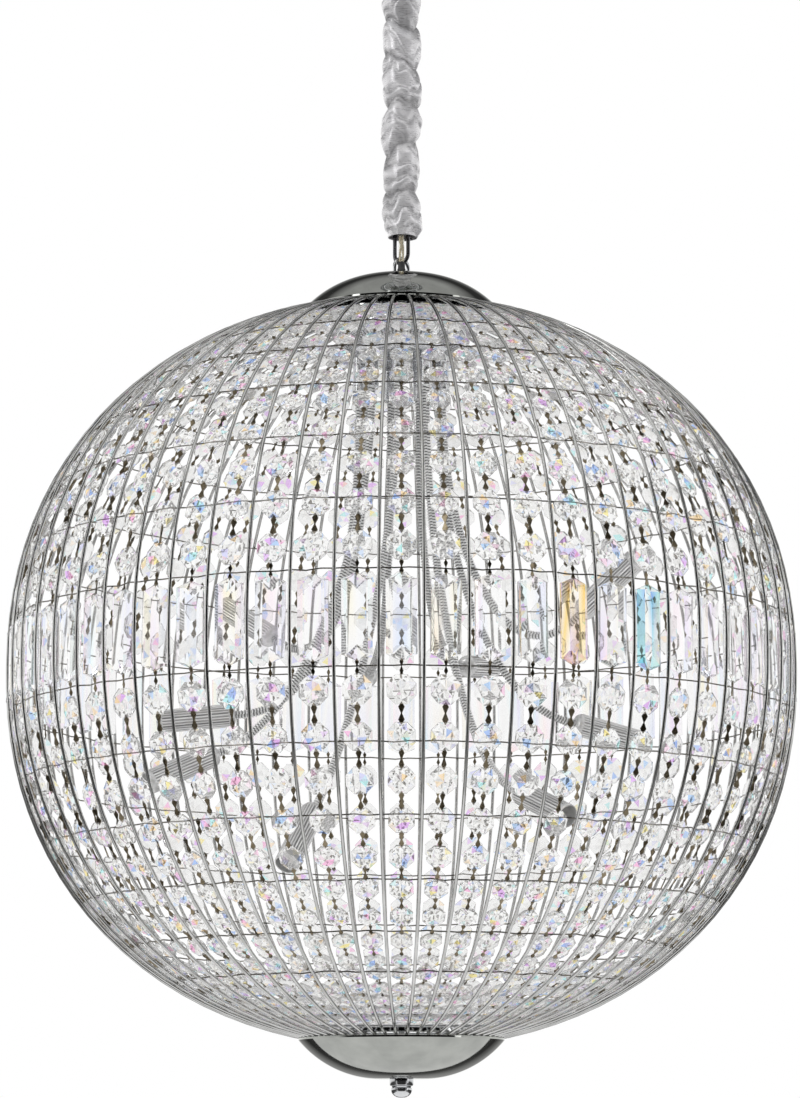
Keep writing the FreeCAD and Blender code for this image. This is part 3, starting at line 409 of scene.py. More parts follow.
ROD_END = math.radians(76.8)  # latitude at which the rods meet the collars
RING_LATITUDES = (6.5, 16.5, 26.5, 36.0, 44.5, 52.0)  # degrees
RING_REACH = GLOBE_RADIUS - 3.6 * MM  # at the equator
RING_WIRE = 0.42 * MM
RING_RUNS = 3  # straight runs of a ring's wire from one rod to the next


def make_rods():
    """Chrome rods from collar to collar, between the columns of crystals."""
    build = Build()
    steps = 44
    for index in range(ROD_COUNT):
        azimuth = FRONT + (index + 0.5) * PITCH
        path = [on_globe(azimuth, -ROD_END + 2 * ROD_END * step / steps,
                         GLOBE_RADIUS - ROD_RADIUS)
                for step in range(steps + 1)]
        build.add(*tube(path, ROD_RADIUS, 10))
    rods = build.finish("meridian_rods", ROD_CHROME, "globe", "chrome", 40)
    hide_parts("rib_cage")


def ring_reach(height):
    """Distance from the axis of a wire ring's corners."""
    share = abs(height) / (RING_REACH - POLE_FLATTENING)
    return RING_REACH * (1 - share ** BEND_POWER) ** (1 / BEND_POWER)


def make_rings():
    """Thin wires that run inside the rods, drawn in a little between them."""
    build = Build()
    for latitude in RING_LATITUDES:
        for sign in (-1, 1):
            height = sign * GLOBE_RADIUS * math.sin(math.radians(latitude))
            path = []
            for index in range(ROD_COUNT * RING_RUNS):
                azimuth = FRONT + (index / RING_RUNS + 0.5) * PITCH
                slack, lift = 0.0, 0.0
                if index % RING_RUNS:
                    slack = chance.uniform(0.3, 1.3) * MM
                    lift = chance.uniform(-0.7, 0.7) * MM
                reach = ring_reach(height) - slack
                path.append(CENTRE + polar(reach, azimuth, height + lift))
            build.add(*tube(path, RING_WIRE, 6, closed=True))
    rings = build.finish("wire_rings", WIRE, "globe", "bronze_wire", 50)
    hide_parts("spacer_rings")


# The crystals

# Colours that a crystal's coating gives to single facets.
TINTS = (
    (0.35, 0.58, 1.0), (0.25, 0.42, 0.95), (1.0, 0.84, 0.25), (1.0, 0.66, 0.3),
    (0.75, 0.35, 0.95), (1.0, 0.4, 0.72), (0.4, 0.9, 0.92), (0.6, 0.6, 1.0),
)


def facet_tint(share):
    """Most facets are near white, and a share of them takes a colour of the coating."""
    if chance.random() < share:
        colour = chance.choice(TINTS)
        depth = chance.uniform(0.3, 1.0)
        return tuple(1 - (1 - part) * depth for part in colour)
    level = chance.uniform(0.9, 1.0)
    return (level, level * 0.998, level * 0.992)


# Faces on each of an octagon's eight sides: edge, star facet, two bevels, and three behind.
SIDE_FACES = 7
# The edge faces carry painted shade, a light grey; the faces behind are near white.
PAINTED_EDGE_SHADE, BACK_TINT = (0.88, 0.88, 0.87), (0.97, 0.97, 0.965)


def bead_tints(count, share, dark):
    """Tints of an octagon's facets: a few neighbours in colour, and painted shade on every other star facet and at
    the star's middle.
    """
    start, run = chance.randrange(8), chance.choice((0, 0, 1, 2, 3, 3))
    first, last = chance.choice(TINTS), chance.choice(TINTS)
    tints = []
    for number in range(count):
        side, kind = divmod(number, SIDE_FACES)
        if kind == 0:
            tints.append(PAINTED_EDGE_SHADE)
        elif kind > 3:
            tints.append(BACK_TINT)
        elif kind > 1:
            tints.append(facet_tint(share * 0.6))
        else:
            along = (side - start) % 8
            edge = facet_tint(share * 0.4)
            if along < run:
                blend = along / 2
                edge = tuple(a + (b - a) * blend for a, b in zip(first, last))
            # Painted shade: every other star facet is a little darker.
            elif side % 2:
                edge = tuple(part * 0.88 for part in edge)
            # Painted shade deepens toward the star's middle.
            middle = tuple(part * level for part, level in zip(edge, dark))
            tints.append([edge, edge, middle])
    return tints


def octagon_shape():
    """An octagon crystal of unit radius: a thin edge, bevels and a star of eight facets."""
    points, faces = [], []
    edge, star, star_height, apex = 0.1, 0.6, 0.3, 0.4
    for height in (edge, -edge):
        for side in range(8):
            angle = math.pi * (side + 0.5) / 4
            points.append(polar(1, angle, height))
    for sign in (1, -1):
        for side in range(8):
            angle = math.pi * side / 4
            points.append(polar(star, angle, sign * star_height))
        points.append((0, 0, sign * apex))
    front, back = 16, 25  # first corners of the two stars
    for side in range(8):
        turn_on = (side + 1) % 8
        faces += [
            (side, 8 + side, 8 + turn_on, turn_on),
            (front + side, front + turn_on, front + 8),
            (side, front + turn_on, front + side),
            (side, turn_on, front + turn_on),
            (back + turn_on, back + side, back + 8),
            (8 + side, back + side, back + turn_on),
            (8 + turn_on, 8 + side, back + turn_on),
        ]
    return points, faces


def pin_shape():
    """A bow-tie pin of unit length: two flat diamonds joined at a waist."""
    half = 0.035
    outline = [(0, 0.5), (0.17, 0.27), (0.035, 0.02), (0.035, -0.02), (0.17, -0.27), (0, -0.5),
               (-0.17, -0.27), (-0.035, -0.02), (-0.035, 0.02), (-0.17, 0.27)]
    points = [(x, y, half) for x, y in outline] + [(x, y, -half) for x, y in outline]
    count = len(outline)
    faces = [(0, 9, 1), (9, 8, 2, 1), (8, 7, 3, 2), (7, 6, 4, 3), (6, 5, 4)]
    faces += [tuple(count + corner for corner in face[::-1]) for face in faces]
    for side in range(count):
        turn_on = (side + 1) % count
        faces.append((side, turn_on, count + turn_on, count + side))
    return points, faces


# Rows of octagons, in degrees of latitude. Beyond the crest's they crowd, and stay bright
# through more veil in the glass.
FIRST_ROW, LAST_ROW, ROW_SPAN, CREST_LATITUDE = 9.8, 73.0, 62.0, 43
SHALLOW, DEEP = 4.2 * MM, 7.6 * MM  # in the globe: between the rods, or behind them if wider
BELT_END = math.radians(7.6)  # latitude at which a strand's first pin starts
PIN_SEAT = 0.72  # share of a crystal's radius at which its pins end
BEAD_COLOUR, PRISM_COLOUR = 0.22, 0.26  # shares of facets and corners that take a colour


def bead_rows():
    """Latitude in degrees, radius and distance from the centre of each crystal of a strand."""
    rows = []
    latitude = FIRST_ROW
    while latitude < LAST_ROW:
        share = (latitude - FIRST_ROW) / ROW_SPAN
        # Crystals and the steps between them shrink toward the poles.
        radius = (9.3 - 3.2 * min(1.0, share * 1.2)) * MM
        gap = math.cos(math.radians(latitude)) * GLOBE_RADIUS * PITCH - 3.2 * MM
        distance = GLOBE_RADIUS - (SHALLOW if radius * 1.85 < gap else DEEP)
        rows.append((latitude, radius, distance))
        step = 2 * radius + (8.2 - 5.4 * share) * MM
        latitude += math.degrees(step / distance)
    return rows


def loose(*spreads):
    """A chance turn, from pairs of an axis and the most that a piece turns about it."""
    turn = Matrix.Identity(4)
    for axis, most in spreads:
        turn = turn @ Matrix.Rotation(chance.uniform(-most, most), 4, axis)
    return turn


def make_strands():
    """Columns of octagons and bow-tie pins above and below the belt."""
    bead, bead_faces = octagon_shape()
    pin, pin_faces = pin_shape()
    rows = bead_rows()
    for sign, label, node in ((1, "upper_octagons", "upper_crystal_strands"),
                              (-1, "lower_octagons", "lower_crystal_strands")):
        beads, crest, pins = Build(), Build(), Build()
        for column in range(ROD_COUNT):
            azimuth = FRONT + column * PITCH
            previous = BELT_END
            for latitude, radius, distance in rows:
                angle = math.radians(latitude)
                seat = radius * PIN_SEAT / distance
                place = (facing(azimuth, sign * angle, distance)
                         @ loose(("Y", 0.14), ("X", 0.1), ("Z", 0.06)) @ Matrix.Scale(radius, 4))
                # Painted shade: the stars' middles darken away from the belt.
                depth = min(1.0, (latitude - FIRST_ROW) / 35)
                dark = (0.94 - 0.1 * depth, 0.935 - 0.12 * depth, 0.92 - 0.15 * depth)
                row = crest if latitude > CREST_LATITUDE else beads
                row.add(bead, bead_faces, place, bead_tints(len(bead_faces), BEAD_COLOUR, dark))
                length = (angle - seat - previous) * distance
                place = (facing(azimuth, sign * (previous + angle - seat) / 2, distance)
                         @ loose(("Y", 0.7)) @ Matrix.Diagonal((length * 0.8, length, length, 1)))
                pins.add(pin, pin_faces, place)
                previous = angle + seat
        made = beads.finish(label, BEAD_GLASS, "globe", "crystal")
        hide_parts(node)
        crest.finish(label.replace("octagons", "crest"), CREST_GLASS, "globe", "crystal")
        pins.finish(label.replace("octagons", "pins"), PIN, "globe", "bronze_wire", 30)


# Painted glints: strong colours at the corners of the two belt crystals that flash at the front, by column.
PAINTED_FLASHES = {
    4: ((1.0, 0.65, 0.15), (0.6, 0.35, 0.7), (1.0, 0.85, 0.5), (1, 1, 1), (1, 1, 1)),
    6: ((0.2, 0.42, 0.88), (0.3, 0.78, 0.82), (0.92, 0.9, 0.75), (1, 1, 1), (1, 1, 1)),
}


def prism_tint(column):
    """Faint colour at a corner of a belt crystal; the two front ones that flash take strong colours, painted
    glints.
    """
    if column in PAINTED_FLASHES:
        return chance.choice(PAINTED_FLASHES[column])
    return tuple((1 + part) / 2 for part in facet_tint(PRISM_COLOUR))


def prism_shape():
    """A long belt crystal: bevelled long edges and ends cut back to a point."""
    half, flat, tip = 9.0 * MM, 5.4 * MM, 25.7 * MM
    shoulder, cut = 21.8 * MM, 16.5 * MM
    thick, side_edge, tip_edge = 4.0 * MM, 1.0 * MM, 0.8 * MM
    points = []
    for sign in (1, -1):
        points += [
            (-flat, -shoulder, sign * thick), (flat, -shoulder, sign * thick),
            (flat, shoulder, sign * thick), (-flat, shoulder, sign * thick),
            (-half, -shoulder, sign * side_edge), (-half, shoulder, sign * side_edge),
            (half, shoulder, sign * side_edge), (half, -shoulder, sign * side_edge),
            (0, -tip, sign * tip_edge), (0, tip, sign * tip_edge),
            (0, -cut, sign * thick), (0, cut, sign * thick),
        ]
    count = len(points) // 2
    faces = [(0, 10, 1, 2, 11, 3), (4, 0, 3, 5), (1, 7, 6, 2), (4, 8, 10, 0), (8, 7, 1, 10),
             (3, 11, 9, 5), (11, 2, 6, 9)]
    faces += [tuple(count + corner for corner in face[::-1]) for face in faces]
    for near, far in ((4, 5), (5, 9), (9, 6), (6, 7), (7, 8), (8, 4)):
        faces.append((near, far, count + far, count + near))
    return points, faces


def make_prisms():
    """The belt of long crystals, with a pin above and below each."""
    points, faces = prism_shape()
    pin, pin_faces = pin_shape()
    pin_size = Matrix.Diagonal((7 * MM, 10 * MM, 8 * MM, 1))
    pin_latitude = math.radians(6.7)
    prisms, pins = Build(), Build()
    for column in range(ROD_COUNT):
        azimuth = FRONT + column * PITCH
        place = facing(azimuth, 0.0, GLOBE_RADIUS - 5.2 * MM) @ loose(("Y", 0.16), ("Z", 0.015))
        tints = [[prism_tint(column) for corner in face] for face in faces]
        prisms.add(points, faces, place, tints)
        for sign in (-1, 1):
            place = facing(azimuth, sign * pin_latitude, GLOBE_RADIUS - 4.6 * MM)
            pins.add(pin, pin_faces, place @ loose(("Y", 0.4)) @ pin_size)
    made = prisms.finish("belt_prisms", PRISM_GLASS, "globe", "crystal")
    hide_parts("crystal_prisms")
    pins.finish("belt_pins", PIN, "globe", "bronze_wire", 30)


# Caps and hub

CAP_RADIUS, CAP_WALL = 64.5 * MM, 1.2 * MM
FINIAL_GAP = 0.05 * MM  # under the cap, so that the two don't share a plane


def node_range(node):
    """Lowest and highest point of a CAD node."""
    low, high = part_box(node)
    return low[2], high[2]


def turned(name, profile, material, body, slot, node, sides=96):
    """A turned piece about the lamp's axis, from a closed profile in metres."""
    build = Build()
    build.add(*lathe(out_facing(profile), sides))
    made = build.finish(name, material, body, slot, 35)
    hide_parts(node)


def disc(bore, radius, low, high, edge):
    """Profile of a disc or ring whose outer edges are broken."""
    return [(bore, low), (radius - edge, low), (radius, low + edge),
            (radius, high - edge), (radius - edge, high), (bore, high)]


def dish(outer, wall):
    """Profile of a dish that opens upward, from its outer side, rim first."""
    rim, top = outer[0]
    inner = [(max(reach - wall, 0), min(height + wall, top)) for reach, height in outer]
    inner[0] = (rim - wall, top)
    return outer + inner[::-1]


def dome(rim, crown, sign):
    """Profile of a spun cap with a rolled rim; rim and crown are heights."""
    edge, land = 1.6 * MM, 13 * MM
    rise, span = abs(crown - rim) - edge, CAP_RADIUS - land
    round_radius = (span ** 2 + rise ** 2) / (2 * rise)
    outer = []
    steps = 30
    for step in range(steps + 1):
        reach = span * math.cos(step / steps * math.pi / 2) if step < steps else 0.0
        drop = round_radius - math.sqrt(round_radius ** 2 - reach ** 2)
        outer.append((land + reach, crown - drop * sign))
    outer.append((0.0, crown))
    inner = [(max(reach - CAP_WALL, 0.0), height - CAP_WALL * sign) for reach, height in outer]
    inner[0] = (CAP_RADIUS - CAP_WALL, rim + 0.9 * MM * sign)
    bead = [(CAP_RADIUS, rim + 0.5 * MM * sign), (CAP_RADIUS - 0.4 * MM, rim),
            (CAP_RADIUS - CAP_WALL, rim + 0.2 * MM * sign)]
    return outer + inner[::-1] + bead[::-1]


def make_caps():
    """Both caps, and the turned pieces between and on them."""
    low, high = node_range("top_cap")
    turned("top_dome", dome(low, high, 1), CAP_CHROME, "globe", "chrome", "top_cap")
    low, high = node_range("bottom_cap")
    turned("bottom_dome", dome(high, low, -1), CAP_CHROME, "bottom_cap", "chrome", "bottom_cap")
    low, high = node_range("cap_washer")
    turned("oval_washer", disc(0, 15 * MM, low, high, 0.4 * MM), DARK, "globe", "dark_metal",
           "cap_washer")
    low, high = node_range("finial")
    high -= FINIAL_GAP
    # Radius, and depth under the knob's top, in millimetres.
    knob = ((7.5, 0), (7.5, 3.2), (7.2, 3.9), (6.2, 4.2), (5.9, 5.0), (6.6, 5.6), (6.7, 7.0),
            (5.9, 8.8), (4.6, 10.2), (2.6, 11.2))
    knob = [(reach * MM, high - depth * MM) for reach, depth in knob]
    turned("finial_knob", [(0, high)] + knob + [(0, low)], CHROME, "finial", "chrome", "finial",
           sides=48)
    for node in ("upper_collar", "lower_collar"):
        low, high = node_range(node)
        turned(node + "_ring", disc(45 * MM, 56 * MM, low, high, 0.5 * MM), CHROME, "globe",
               "chrome", node)
    low, high = node_range("arm_hub")
    turned("hub_plate", disc(0, 52 * MM, low, high, 0.6 * MM), CHROME, "globe", "chrome",
           "arm_hub")
    low, high = node_range("hub_bowl")
    outer = [(42 * MM, high), (41.6 * MM, high - 6 * MM), (40 * MM, high - 12 * MM),
             (37.5 * MM, high - 17 * MM), (34.5 * MM, high - 19.2 * MM), (31 * MM, low), (0, low)]
    turned("hub_shell", dish(outer, 1.5 * MM), CHROME, "globe", "chrome", "hub_bowl")


# Lamps

LAMP_COUNT = 9
FERRULE_CIRCLE = 27 * MM
FERRULE_TURN = 25  # degrees, of the first one
COVER_LENGTH = 50 * MM
RIB_STEP = 0.48 * MM  # along a neck


def ferrule_place(index):
    """Where a ferrule's axis crosses height zero."""
    return polar(FERRULE_CIRCLE, math.radians(FERRULE_TURN + 360 * index / LAMP_COUNT))


def make_ferrules():
    """Short tubes under the bowl, one for each neck."""
    low, high = node_range("arm_ferrules")
    build = Build()
    profile = [(0, high), (4.6 * MM, high), (4.6 * MM, high - 3 * MM), (4.1 * MM, high - 3.6 * MM),
               (4.1 * MM, low + 4 * MM), (4.6 * MM, low + 3.4 * MM), (4.6 * MM, low + 0.5 * MM),
               (4.2 * MM, low), (0, low)]
    points, faces = lathe(out_facing(profile), 32)
    for index in range(LAMP_COUNT):
        build.add(points, faces, Matrix.Translation(ferrule_place(index)))
    made = build.finish("neck_ferrules", CHROME, "globe", "chrome", 35)
    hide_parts("arm_ferrules")


def lamp_mouth(number):
    """Mouth of a lamp's sleeve and the way that it points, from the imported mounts."""
    for mount in frame["record"]["mounts"]:
        if mount["name"] == "lamp_recess_" + number:
            return Vector(mount["pos_m"]), Vector(mount["axis"]).normalized()
    raise ValueError("no mount for lamp " + number)


def neck_path(index, back, way):
    """Centre line of a flexible neck, in even short steps; it starts and ends straight."""
    start = ferrule_place(index) + Vector((0, 0, node_range("arm_ferrules")[0]))
    stub, fall_by, reach_by = 5 * MM, 105 * MM, 62 * MM
    leave, fall = start - Vector((0, 0, stub)), start - Vector((0, 0, fall_by))
    reach, arrive = back - way * reach_by, back - way * stub
    raw = [start]
    steps = 400
    for step in range(steps + 1):
        part = step / steps
        rest = 1 - part
        raw.append(leave * rest ** 3 + fall * (3 * rest ** 2 * part)
                   + reach * (3 * rest * part ** 2) + arrive * part ** 3)
    raw.append(back)
    return raw


def evenly(raw, spacing):
    """Points a fixed distance apart along a fine path, and its last point."""
    points, carried = [raw[0]], 0.0
    for near, far in zip(raw, raw[1:]):
        run = (far - near).length
        while carried + run >= spacing:
            share = (spacing - carried) / run
            near = near + (far - near) * share
            points.append(near)
            run = (far - near).length
            carried = 0.0
        carried += run
    points.append(raw[-1])
    return points


def make_neck(index, number, back, way):
    """A ribbed metal hose from its ferrule to the back of its lamp."""
    path = evenly(neck_path(index, back, way), RIB_STEP)
    # Painted shade: along each turn of the rib, the faces go from light on the rib to dark down in the groove; the
    # end faces take 0.4.
    ribs, rib_shades = (2.7, 2.7, 2.3, 1.8), (1.0, 0.95, 0.22, 0.55)
    sides = 12

    def wound(step, side):
        return ribs[(step + side // 3) % 4] * MM

    points, faces = tube(path, wound, sides)
    tints = [(rib_shades[(step + side // 3) % 4],) * 3
             for step in range(len(path) - 1) for side in range(sides)]
    build = Build()
    build.add(points, faces, None, tints + [(0.4,) * 3] * 2)
    neck = build.finish("neck_" + number, HOSE_CHROME, None, "chrome", 60)
    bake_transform(neck)
    return neck


def make_cover(number, back, way):
    """Fluted chrome sleeve with a rounded back and a plain lip round its recess."""
    # Radius, and distance from the sleeve's back, in millimetres.
    profile = [(0, 0), (3.6, 0), (4.6, 0.3), (5.6, 0.9), (6.5, 1.9), (7.0, 3.0), (7.1, 4.2),
               (7.1, 46.2), (7.45, 47.0), (7.5, 48.0), (7.45, 49.4), (7.1, 50.0), (6.5, 50.0),
               (6.4, 49.6), (6.4, 36.0), (6.0, 36.0), (6.0, 2.5), (0, 2.5)]
    profile = [(reach * MM, height * MM) for reach, height in profile]
    first, last = 6, 7  # the corners between which it is fluted
    count, sides = 24, 120

    def flutes(index, angle):
        return 0.38 * MM * math.cos(count * angle) if index in (first, last) else 0.0

    points, faces = lathe(profile, sides, flutes)
    # Painted shade: each flute darkens toward its groove by a chance depth; faces off the fluted band take a plain
    # 0.85.
    flute_shades = [chance.uniform(0.06, 0.4) for groove in range(count)]
    tints = []
    for step in range(len(profile) - 1):
        for side in range(sides):
            groove, part = divmod(side, sides // count)
            flute_shade = flute_shades[groove]
            level = (1.0, (1 + flute_shade) / 2, flute_shade, (1 + flute_shade) / 2, 1.0)[part]
            tints.append((level if step == first else 0.85,) * 3)
    turn = way.to_track_quat("Z", "Y").to_matrix().to_4x4()
    build = Build()
    build.add(points, faces, Matrix.Translation(back) @ turn, tints)
    cover = build.finish("sleeve_" + number, FLUTED_CHROME, "lamp_" + number, "chrome", 40)
    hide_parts("lamp_cover_" + number)


def make_lamps():
    """Ferrules, necks and lamp sleeves; the necks together stand for one CAD node."""
    make_ferrules()
    for index in range(LAMP_COUNT):
        number = "%02d" % (index + 1)
        mouth, way = lamp_mouth(number)
        back = mouth - way * COVER_LENGTH
        make_neck(index, number, back, way)
        make_cover(number, back, way)
    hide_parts("goosenecks")


# Suspension

LINK_COUNT = 8
LINK_WIRE, LINK_WIDTH, LINK_LENGTH = 2.6 * MM, 9.4 * MM, 24 * MM  # inner width and length
LOOP_WIRE, LOOP_RADIUS = 2.4 * MM, 6.2 * MM
SLANT = math.pi / 4  # links and loops stand at this angle to the front, one way or the other


def link_path(low_end, turn, steps=14):
    """Middle of a link's wire, standing upright and turned about Z."""
    radius = (LINK_WIDTH + LINK_WIRE) / 2
    straight = LINK_LENGTH - LINK_WIDTH
    low = low_end + radius
    points = []
    for half, height in ((0, low + straight), (1, low)):
        for step in range(steps + 1):
            angle = math.pi * (half + step / steps)
            points.append(Vector((radius * math.cos(angle), 0, height + radius * math.sin(angle))))
    spin = Matrix.Rotation(turn, 3, "Z")
    return [spin @ point for point in points]


def loop_path(end, legs_to, turn, sign, steps=16):
    """Middle of a loop's wire with two straight legs; sign is 1 where its bend is on top."""
    height = end - sign * LOOP_RADIUS
    points = [Vector((LOOP_RADIUS, 0, legs_to))]
    for step in range(steps + 1):
        angle = math.pi * step / steps
        points.append(Vector((LOOP_RADIUS * math.cos(angle), 0,
                              height + sign * LOOP_RADIUS * math.sin(angle))))
    points.append(Vector((-LOOP_RADIUS, 0, legs_to)))
    spin = Matrix.Rotation(turn, 3, "Z")
    return [spin @ point for point in points]


def joint_height(name):
    """Height of a joint's axis."""
    for joint in frame["joints"]:
        if joint["name"] == name:
            return joint["pos_m"][2]
    raise ValueError("no joint " + name)


def make_chain():
    """Links that stand crosswise by turns; the uppermost swings on its own."""
    low = joint_height("globe_swing")
    pitch = (joint_height("chain_swing") - low) / (LINK_COUNT - 1)
    links, top = Build(), Build()
    for index in range(LINK_COUNT):
        path = link_path(low + index * pitch, SLANT if index % 2 else -SLANT)
        build = top if index == LINK_COUNT - 1 else links
        build.add(*tube(path, LINK_WIRE / 2, 12, closed=True))
    made = top.finish("upper_link", DARK, "top_link", "dark_metal", 40)
    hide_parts("top_chain_link")
    made = links.finish("links", DARK, "chain", "dark_metal", 40)
    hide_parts("chain_links")


def make_loops():
    """The globe's loop, and the ceiling's, which hangs."""
    for name, node, body, sign in (("globe_loop", "suspension_loop", "globe", 1),
                                   ("ceiling_loop", "canopy_loop", "ceiling_fitting", -1)):
        legs_to, end = node_range(node)[::sign]
        path = loop_path(end - sign * LOOP_WIRE / 2, legs_to, sign * SLANT, sign)
        build = Build()
        build.add(*tube(path, LOOP_WIRE / 2, 12))
        made = build.finish(name, CHROME, body, "chrome", 40)
        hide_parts(node)


SLEEVE_PUFF, SLEEVE_FOLD = 29 * MM, 12.5 * MM  # heights of a puff, and of a fold in it
SLEEVE_WALL = 0.35 * MM
SLEEVE_MOST = 13.2  # millimetres from its axis
SLEEVE_HEM = 9  # rows of faces in the pale frill at its lower end


def sleeve_reach(angle, height, rise, ends):
    """Distance from the axis in millimetres of a point of the sleeve, and its painted shade, darker where the silk
    is drawn in.
    """
    c, s = math.cos(angle), math.sin(angle)
    waist = 8.9 + 0.6 * s * s
    slant = 0.3 * noise.noise(Vector((c * 0.9, s * 0.9 + 2, height * 30)))
    slant += 0.1 * math.sin(angle + height * 50)
    phase = rise / SLEEVE_PUFF + slant
    number = math.floor(phase)
    puff = math.sin(math.pi * (phase - number)) ** 0.55
    full = 0.9 + 0.7 * noise.noise(Vector((c * 0.8 + number * 1.7, s * 0.8, number * 3.3)))
    turn = 0.9 * noise.noise(Vector((c * 1.1 + 5, s * 1.1, height * 55)))
    turn += 0.3 * math.sin(angle - height * 90)
    fold = abs(math.sin(math.pi * (rise / SLEEVE_FOLD + turn))) ** 0.6
    crease = noise.noise(Vector((c * 2.2, s * 2.2, height * 170)))
    swell = 4.6 * min(1.15, full) * puff * (0.55 + 0.45 * fold) + 0.35 * crease
    swell = max(0.0, swell) * max(0.0, ends)
    return min(SLEEVE_MOST, waist + swell), 0.42 + 0.46 * min(1.0, swell / 3.4)


def make_sleeve():
    """Gathered silk tube: uneven puffs, pinched waists and long soft creases."""
    low, high = node_range("chain_sleeve")
    around, along = 96, 330
    points, faces, tints, painted_fold_shades = [], [], [], []
    for row in range(along + 1):
        share = row / along
        height = low + (high - low) * share
        ends = min(1.0, 0.25 + share / 0.04, (1 - share) / 0.045)
        lean = 1.6 * MM * noise.noise(Vector((3.1, 0.0, height * 34)))
        for side in range(around):
            angle = 2 * math.pi * side / around
            reach, painted_fold_shade = sleeve_reach(angle, height, height - low, ends)
            painted_fold_shades.append(painted_fold_shade)
            points.append((reach * MM * math.cos(angle) + lean, reach * MM * math.sin(angle),
                           height))
    outer = len(points)
    for x, y, z in points[:outer]:
        inward = 1 - SLEEVE_WALL / math.hypot(x, y)
        points.append((x * inward, y * inward, z))
    for row in range(along):
        for side in range(around):
            a = row * around + side
            b = row * around + (side + 1) % around
            c, d = b + around, a + around
            faces.append((a, b, c, d))
            faces.append((outer + d, outer + c, outer + b, outer + a))
            # Painted shade darkens the faces where the silk is drawn in; the frill at the hem stays pale.
            tints += [(1.0 if row < SLEEVE_HEM else painted_fold_shades[a],) * 3] * 2
    last = along * around
    for side in range(around):
        turn_on = (side + 1) % around
        faces.append((side, outer + side, outer + turn_on, turn_on))
        faces.append((last + turn_on, outer + last + turn_on, outer + last + side, last + side))
        tints += [(0.9,) * 3] * 2
    build = Build()
    build.add(points, faces, None, tints)
    sleeve = build.finish("silk_sleeve", SILK, None, "silk", 180)
    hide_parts("chain_sleeve")
    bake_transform(sleeve)


CABLE_AT = (0.0, -6.5 * MM)
CABLE_RADIUS, CORE_RADIUS, CORE_OFFSET = 1.8 * MM, 0.55 * MM, 0.8 * MM
CORE_TWIST = 190  # radians a metre
CORE_SHORT = 0.2 * MM  # of the jacket's end


def cable_run(name, low, high, node):
    """One length of the clear cable, with its two cores inside."""
    x, y = CABLE_AT
    steps = max(8, int((high - low) / (1.5 * MM)))
    jacket, cores = Build(), Build()
    path = [Vector((x, y, low + (high - low) * step / steps)) for step in range(steps + 1)]
    jacket.add(*tube(path, CABLE_RADIUS, 16))
    for sign in (-1, 1):
        path = []
        for step in range(steps + 1):
            height = low + CORE_SHORT + (high - low - 2 * CORE_SHORT) * step / steps
            angle = height * CORE_TWIST
            path.append(Vector((x + sign * CORE_OFFSET * math.cos(angle),
                                y + sign * CORE_OFFSET * math.sin(angle), height)))
        cores.add(*tube(path, CORE_RADIUS, 8))
    outer = jacket.finish(name + "_jacket", JACKET, None, "clear_cable", 40)
    inner = cores.finish(name + "_cores", CORE, None, "clear_cable", 40)
    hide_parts(node)
    for piece in (outer, inner):
        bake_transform(piece)


def make_cable():
    """The cable's three lengths, and the grip that it enters the cap by."""
    low, high = node_range("cable_head")
    cable_run("head", low, high, "cable_head")
    low, high = node_range("supply_cable")
    cable_run("middle", low, high, "supply_cable")
    low, high = node_range("cable_tail")
    cable_run("tail", low, high, "cable_tail")
    low, high = node_range("cord_gland")
    profile = [(0, low), (2.7 * MM, low), (2.7 * MM, low + 2.6 * MM), (2.4 * MM, low + 3.2 * MM),
               (2.3 * MM, low + 3.4 * MM), (2.3 * MM, high - 0.5 * MM), (1.9 * MM, high),
               (0, high)]
    points, faces = lathe(out_facing(profile), 24)
    build = Build()
    build.add(points, faces, Matrix.Translation((*CABLE_AT, 0)))
    made = build.finish("cable_grip", BLACK, "globe", "black_plastic", 35)
    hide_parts("cord_gland")


def make_canopy():
    """Spun ceiling dish with a stepped shoulder and a rolled rim."""
    # Radius and height in millimetres.
    profile = [(60, 0), (60, -6.5), (59.4, -8.2), (57.6, -9.4), (57.0, -10.6), (56.2, -16),
               (53.5, -23), (50, -28.2), (47.5, -30.4), (44, -31.6), (40, -32), (0, -32)]
    outer = [(reach * MM, height * MM) for reach, height in profile]
    turned("canopy_dish", dish(outer, 1.5 * MM), CHROME, "ceiling_fitting", "chrome", "canopy")


def dress_cad():
    """Materials of the CAD pieces that show as they are."""
    finishes = {
        "mounting_bracket": ZINC, "bracket_nuts": ZINC, "canopy_nuts": CHROME, "hub_nuts": ZINC,
        "lamp_driver": WHITE, "terminal_block": WHITE, "junction_block": WHITE,
        "bottom_crossbar": ZINC, "bottom_stud": ZINC,
    }
    for index in range(LAMP_COUNT):
        finishes["lamp_socket_%02d" % (index + 1)] = CERAMIC
    for node, material in finishes.items():
        for slot in frame["nodes"][node].material_slots:
            slot.material = material


# Studio

def make_floor():
    """A plain pale floor, far under the lamp."""
    size, height = 3.0, -3.0
    mesh = bpy.data.meshes.new("floor")
    mesh.from_pydata([(-size, -size, height), (size, -size, height), (size, size, height),
                      (-size, size, height)], [], [(0, 1, 2, 3)])
    floor = new_object("floor", mesh)
    material, tree = new_material("pale_floor")
    colour = ramp_node(tree, noise_node(tree, scale=1.5),
                       [(0.3, (0.86, 0.86, 0.86)), (0.7, (0.9, 0.9, 0.9))])
    floor.data.materials.append(shaded(material, {"Base Color": colour, "Roughness": 0.9}))


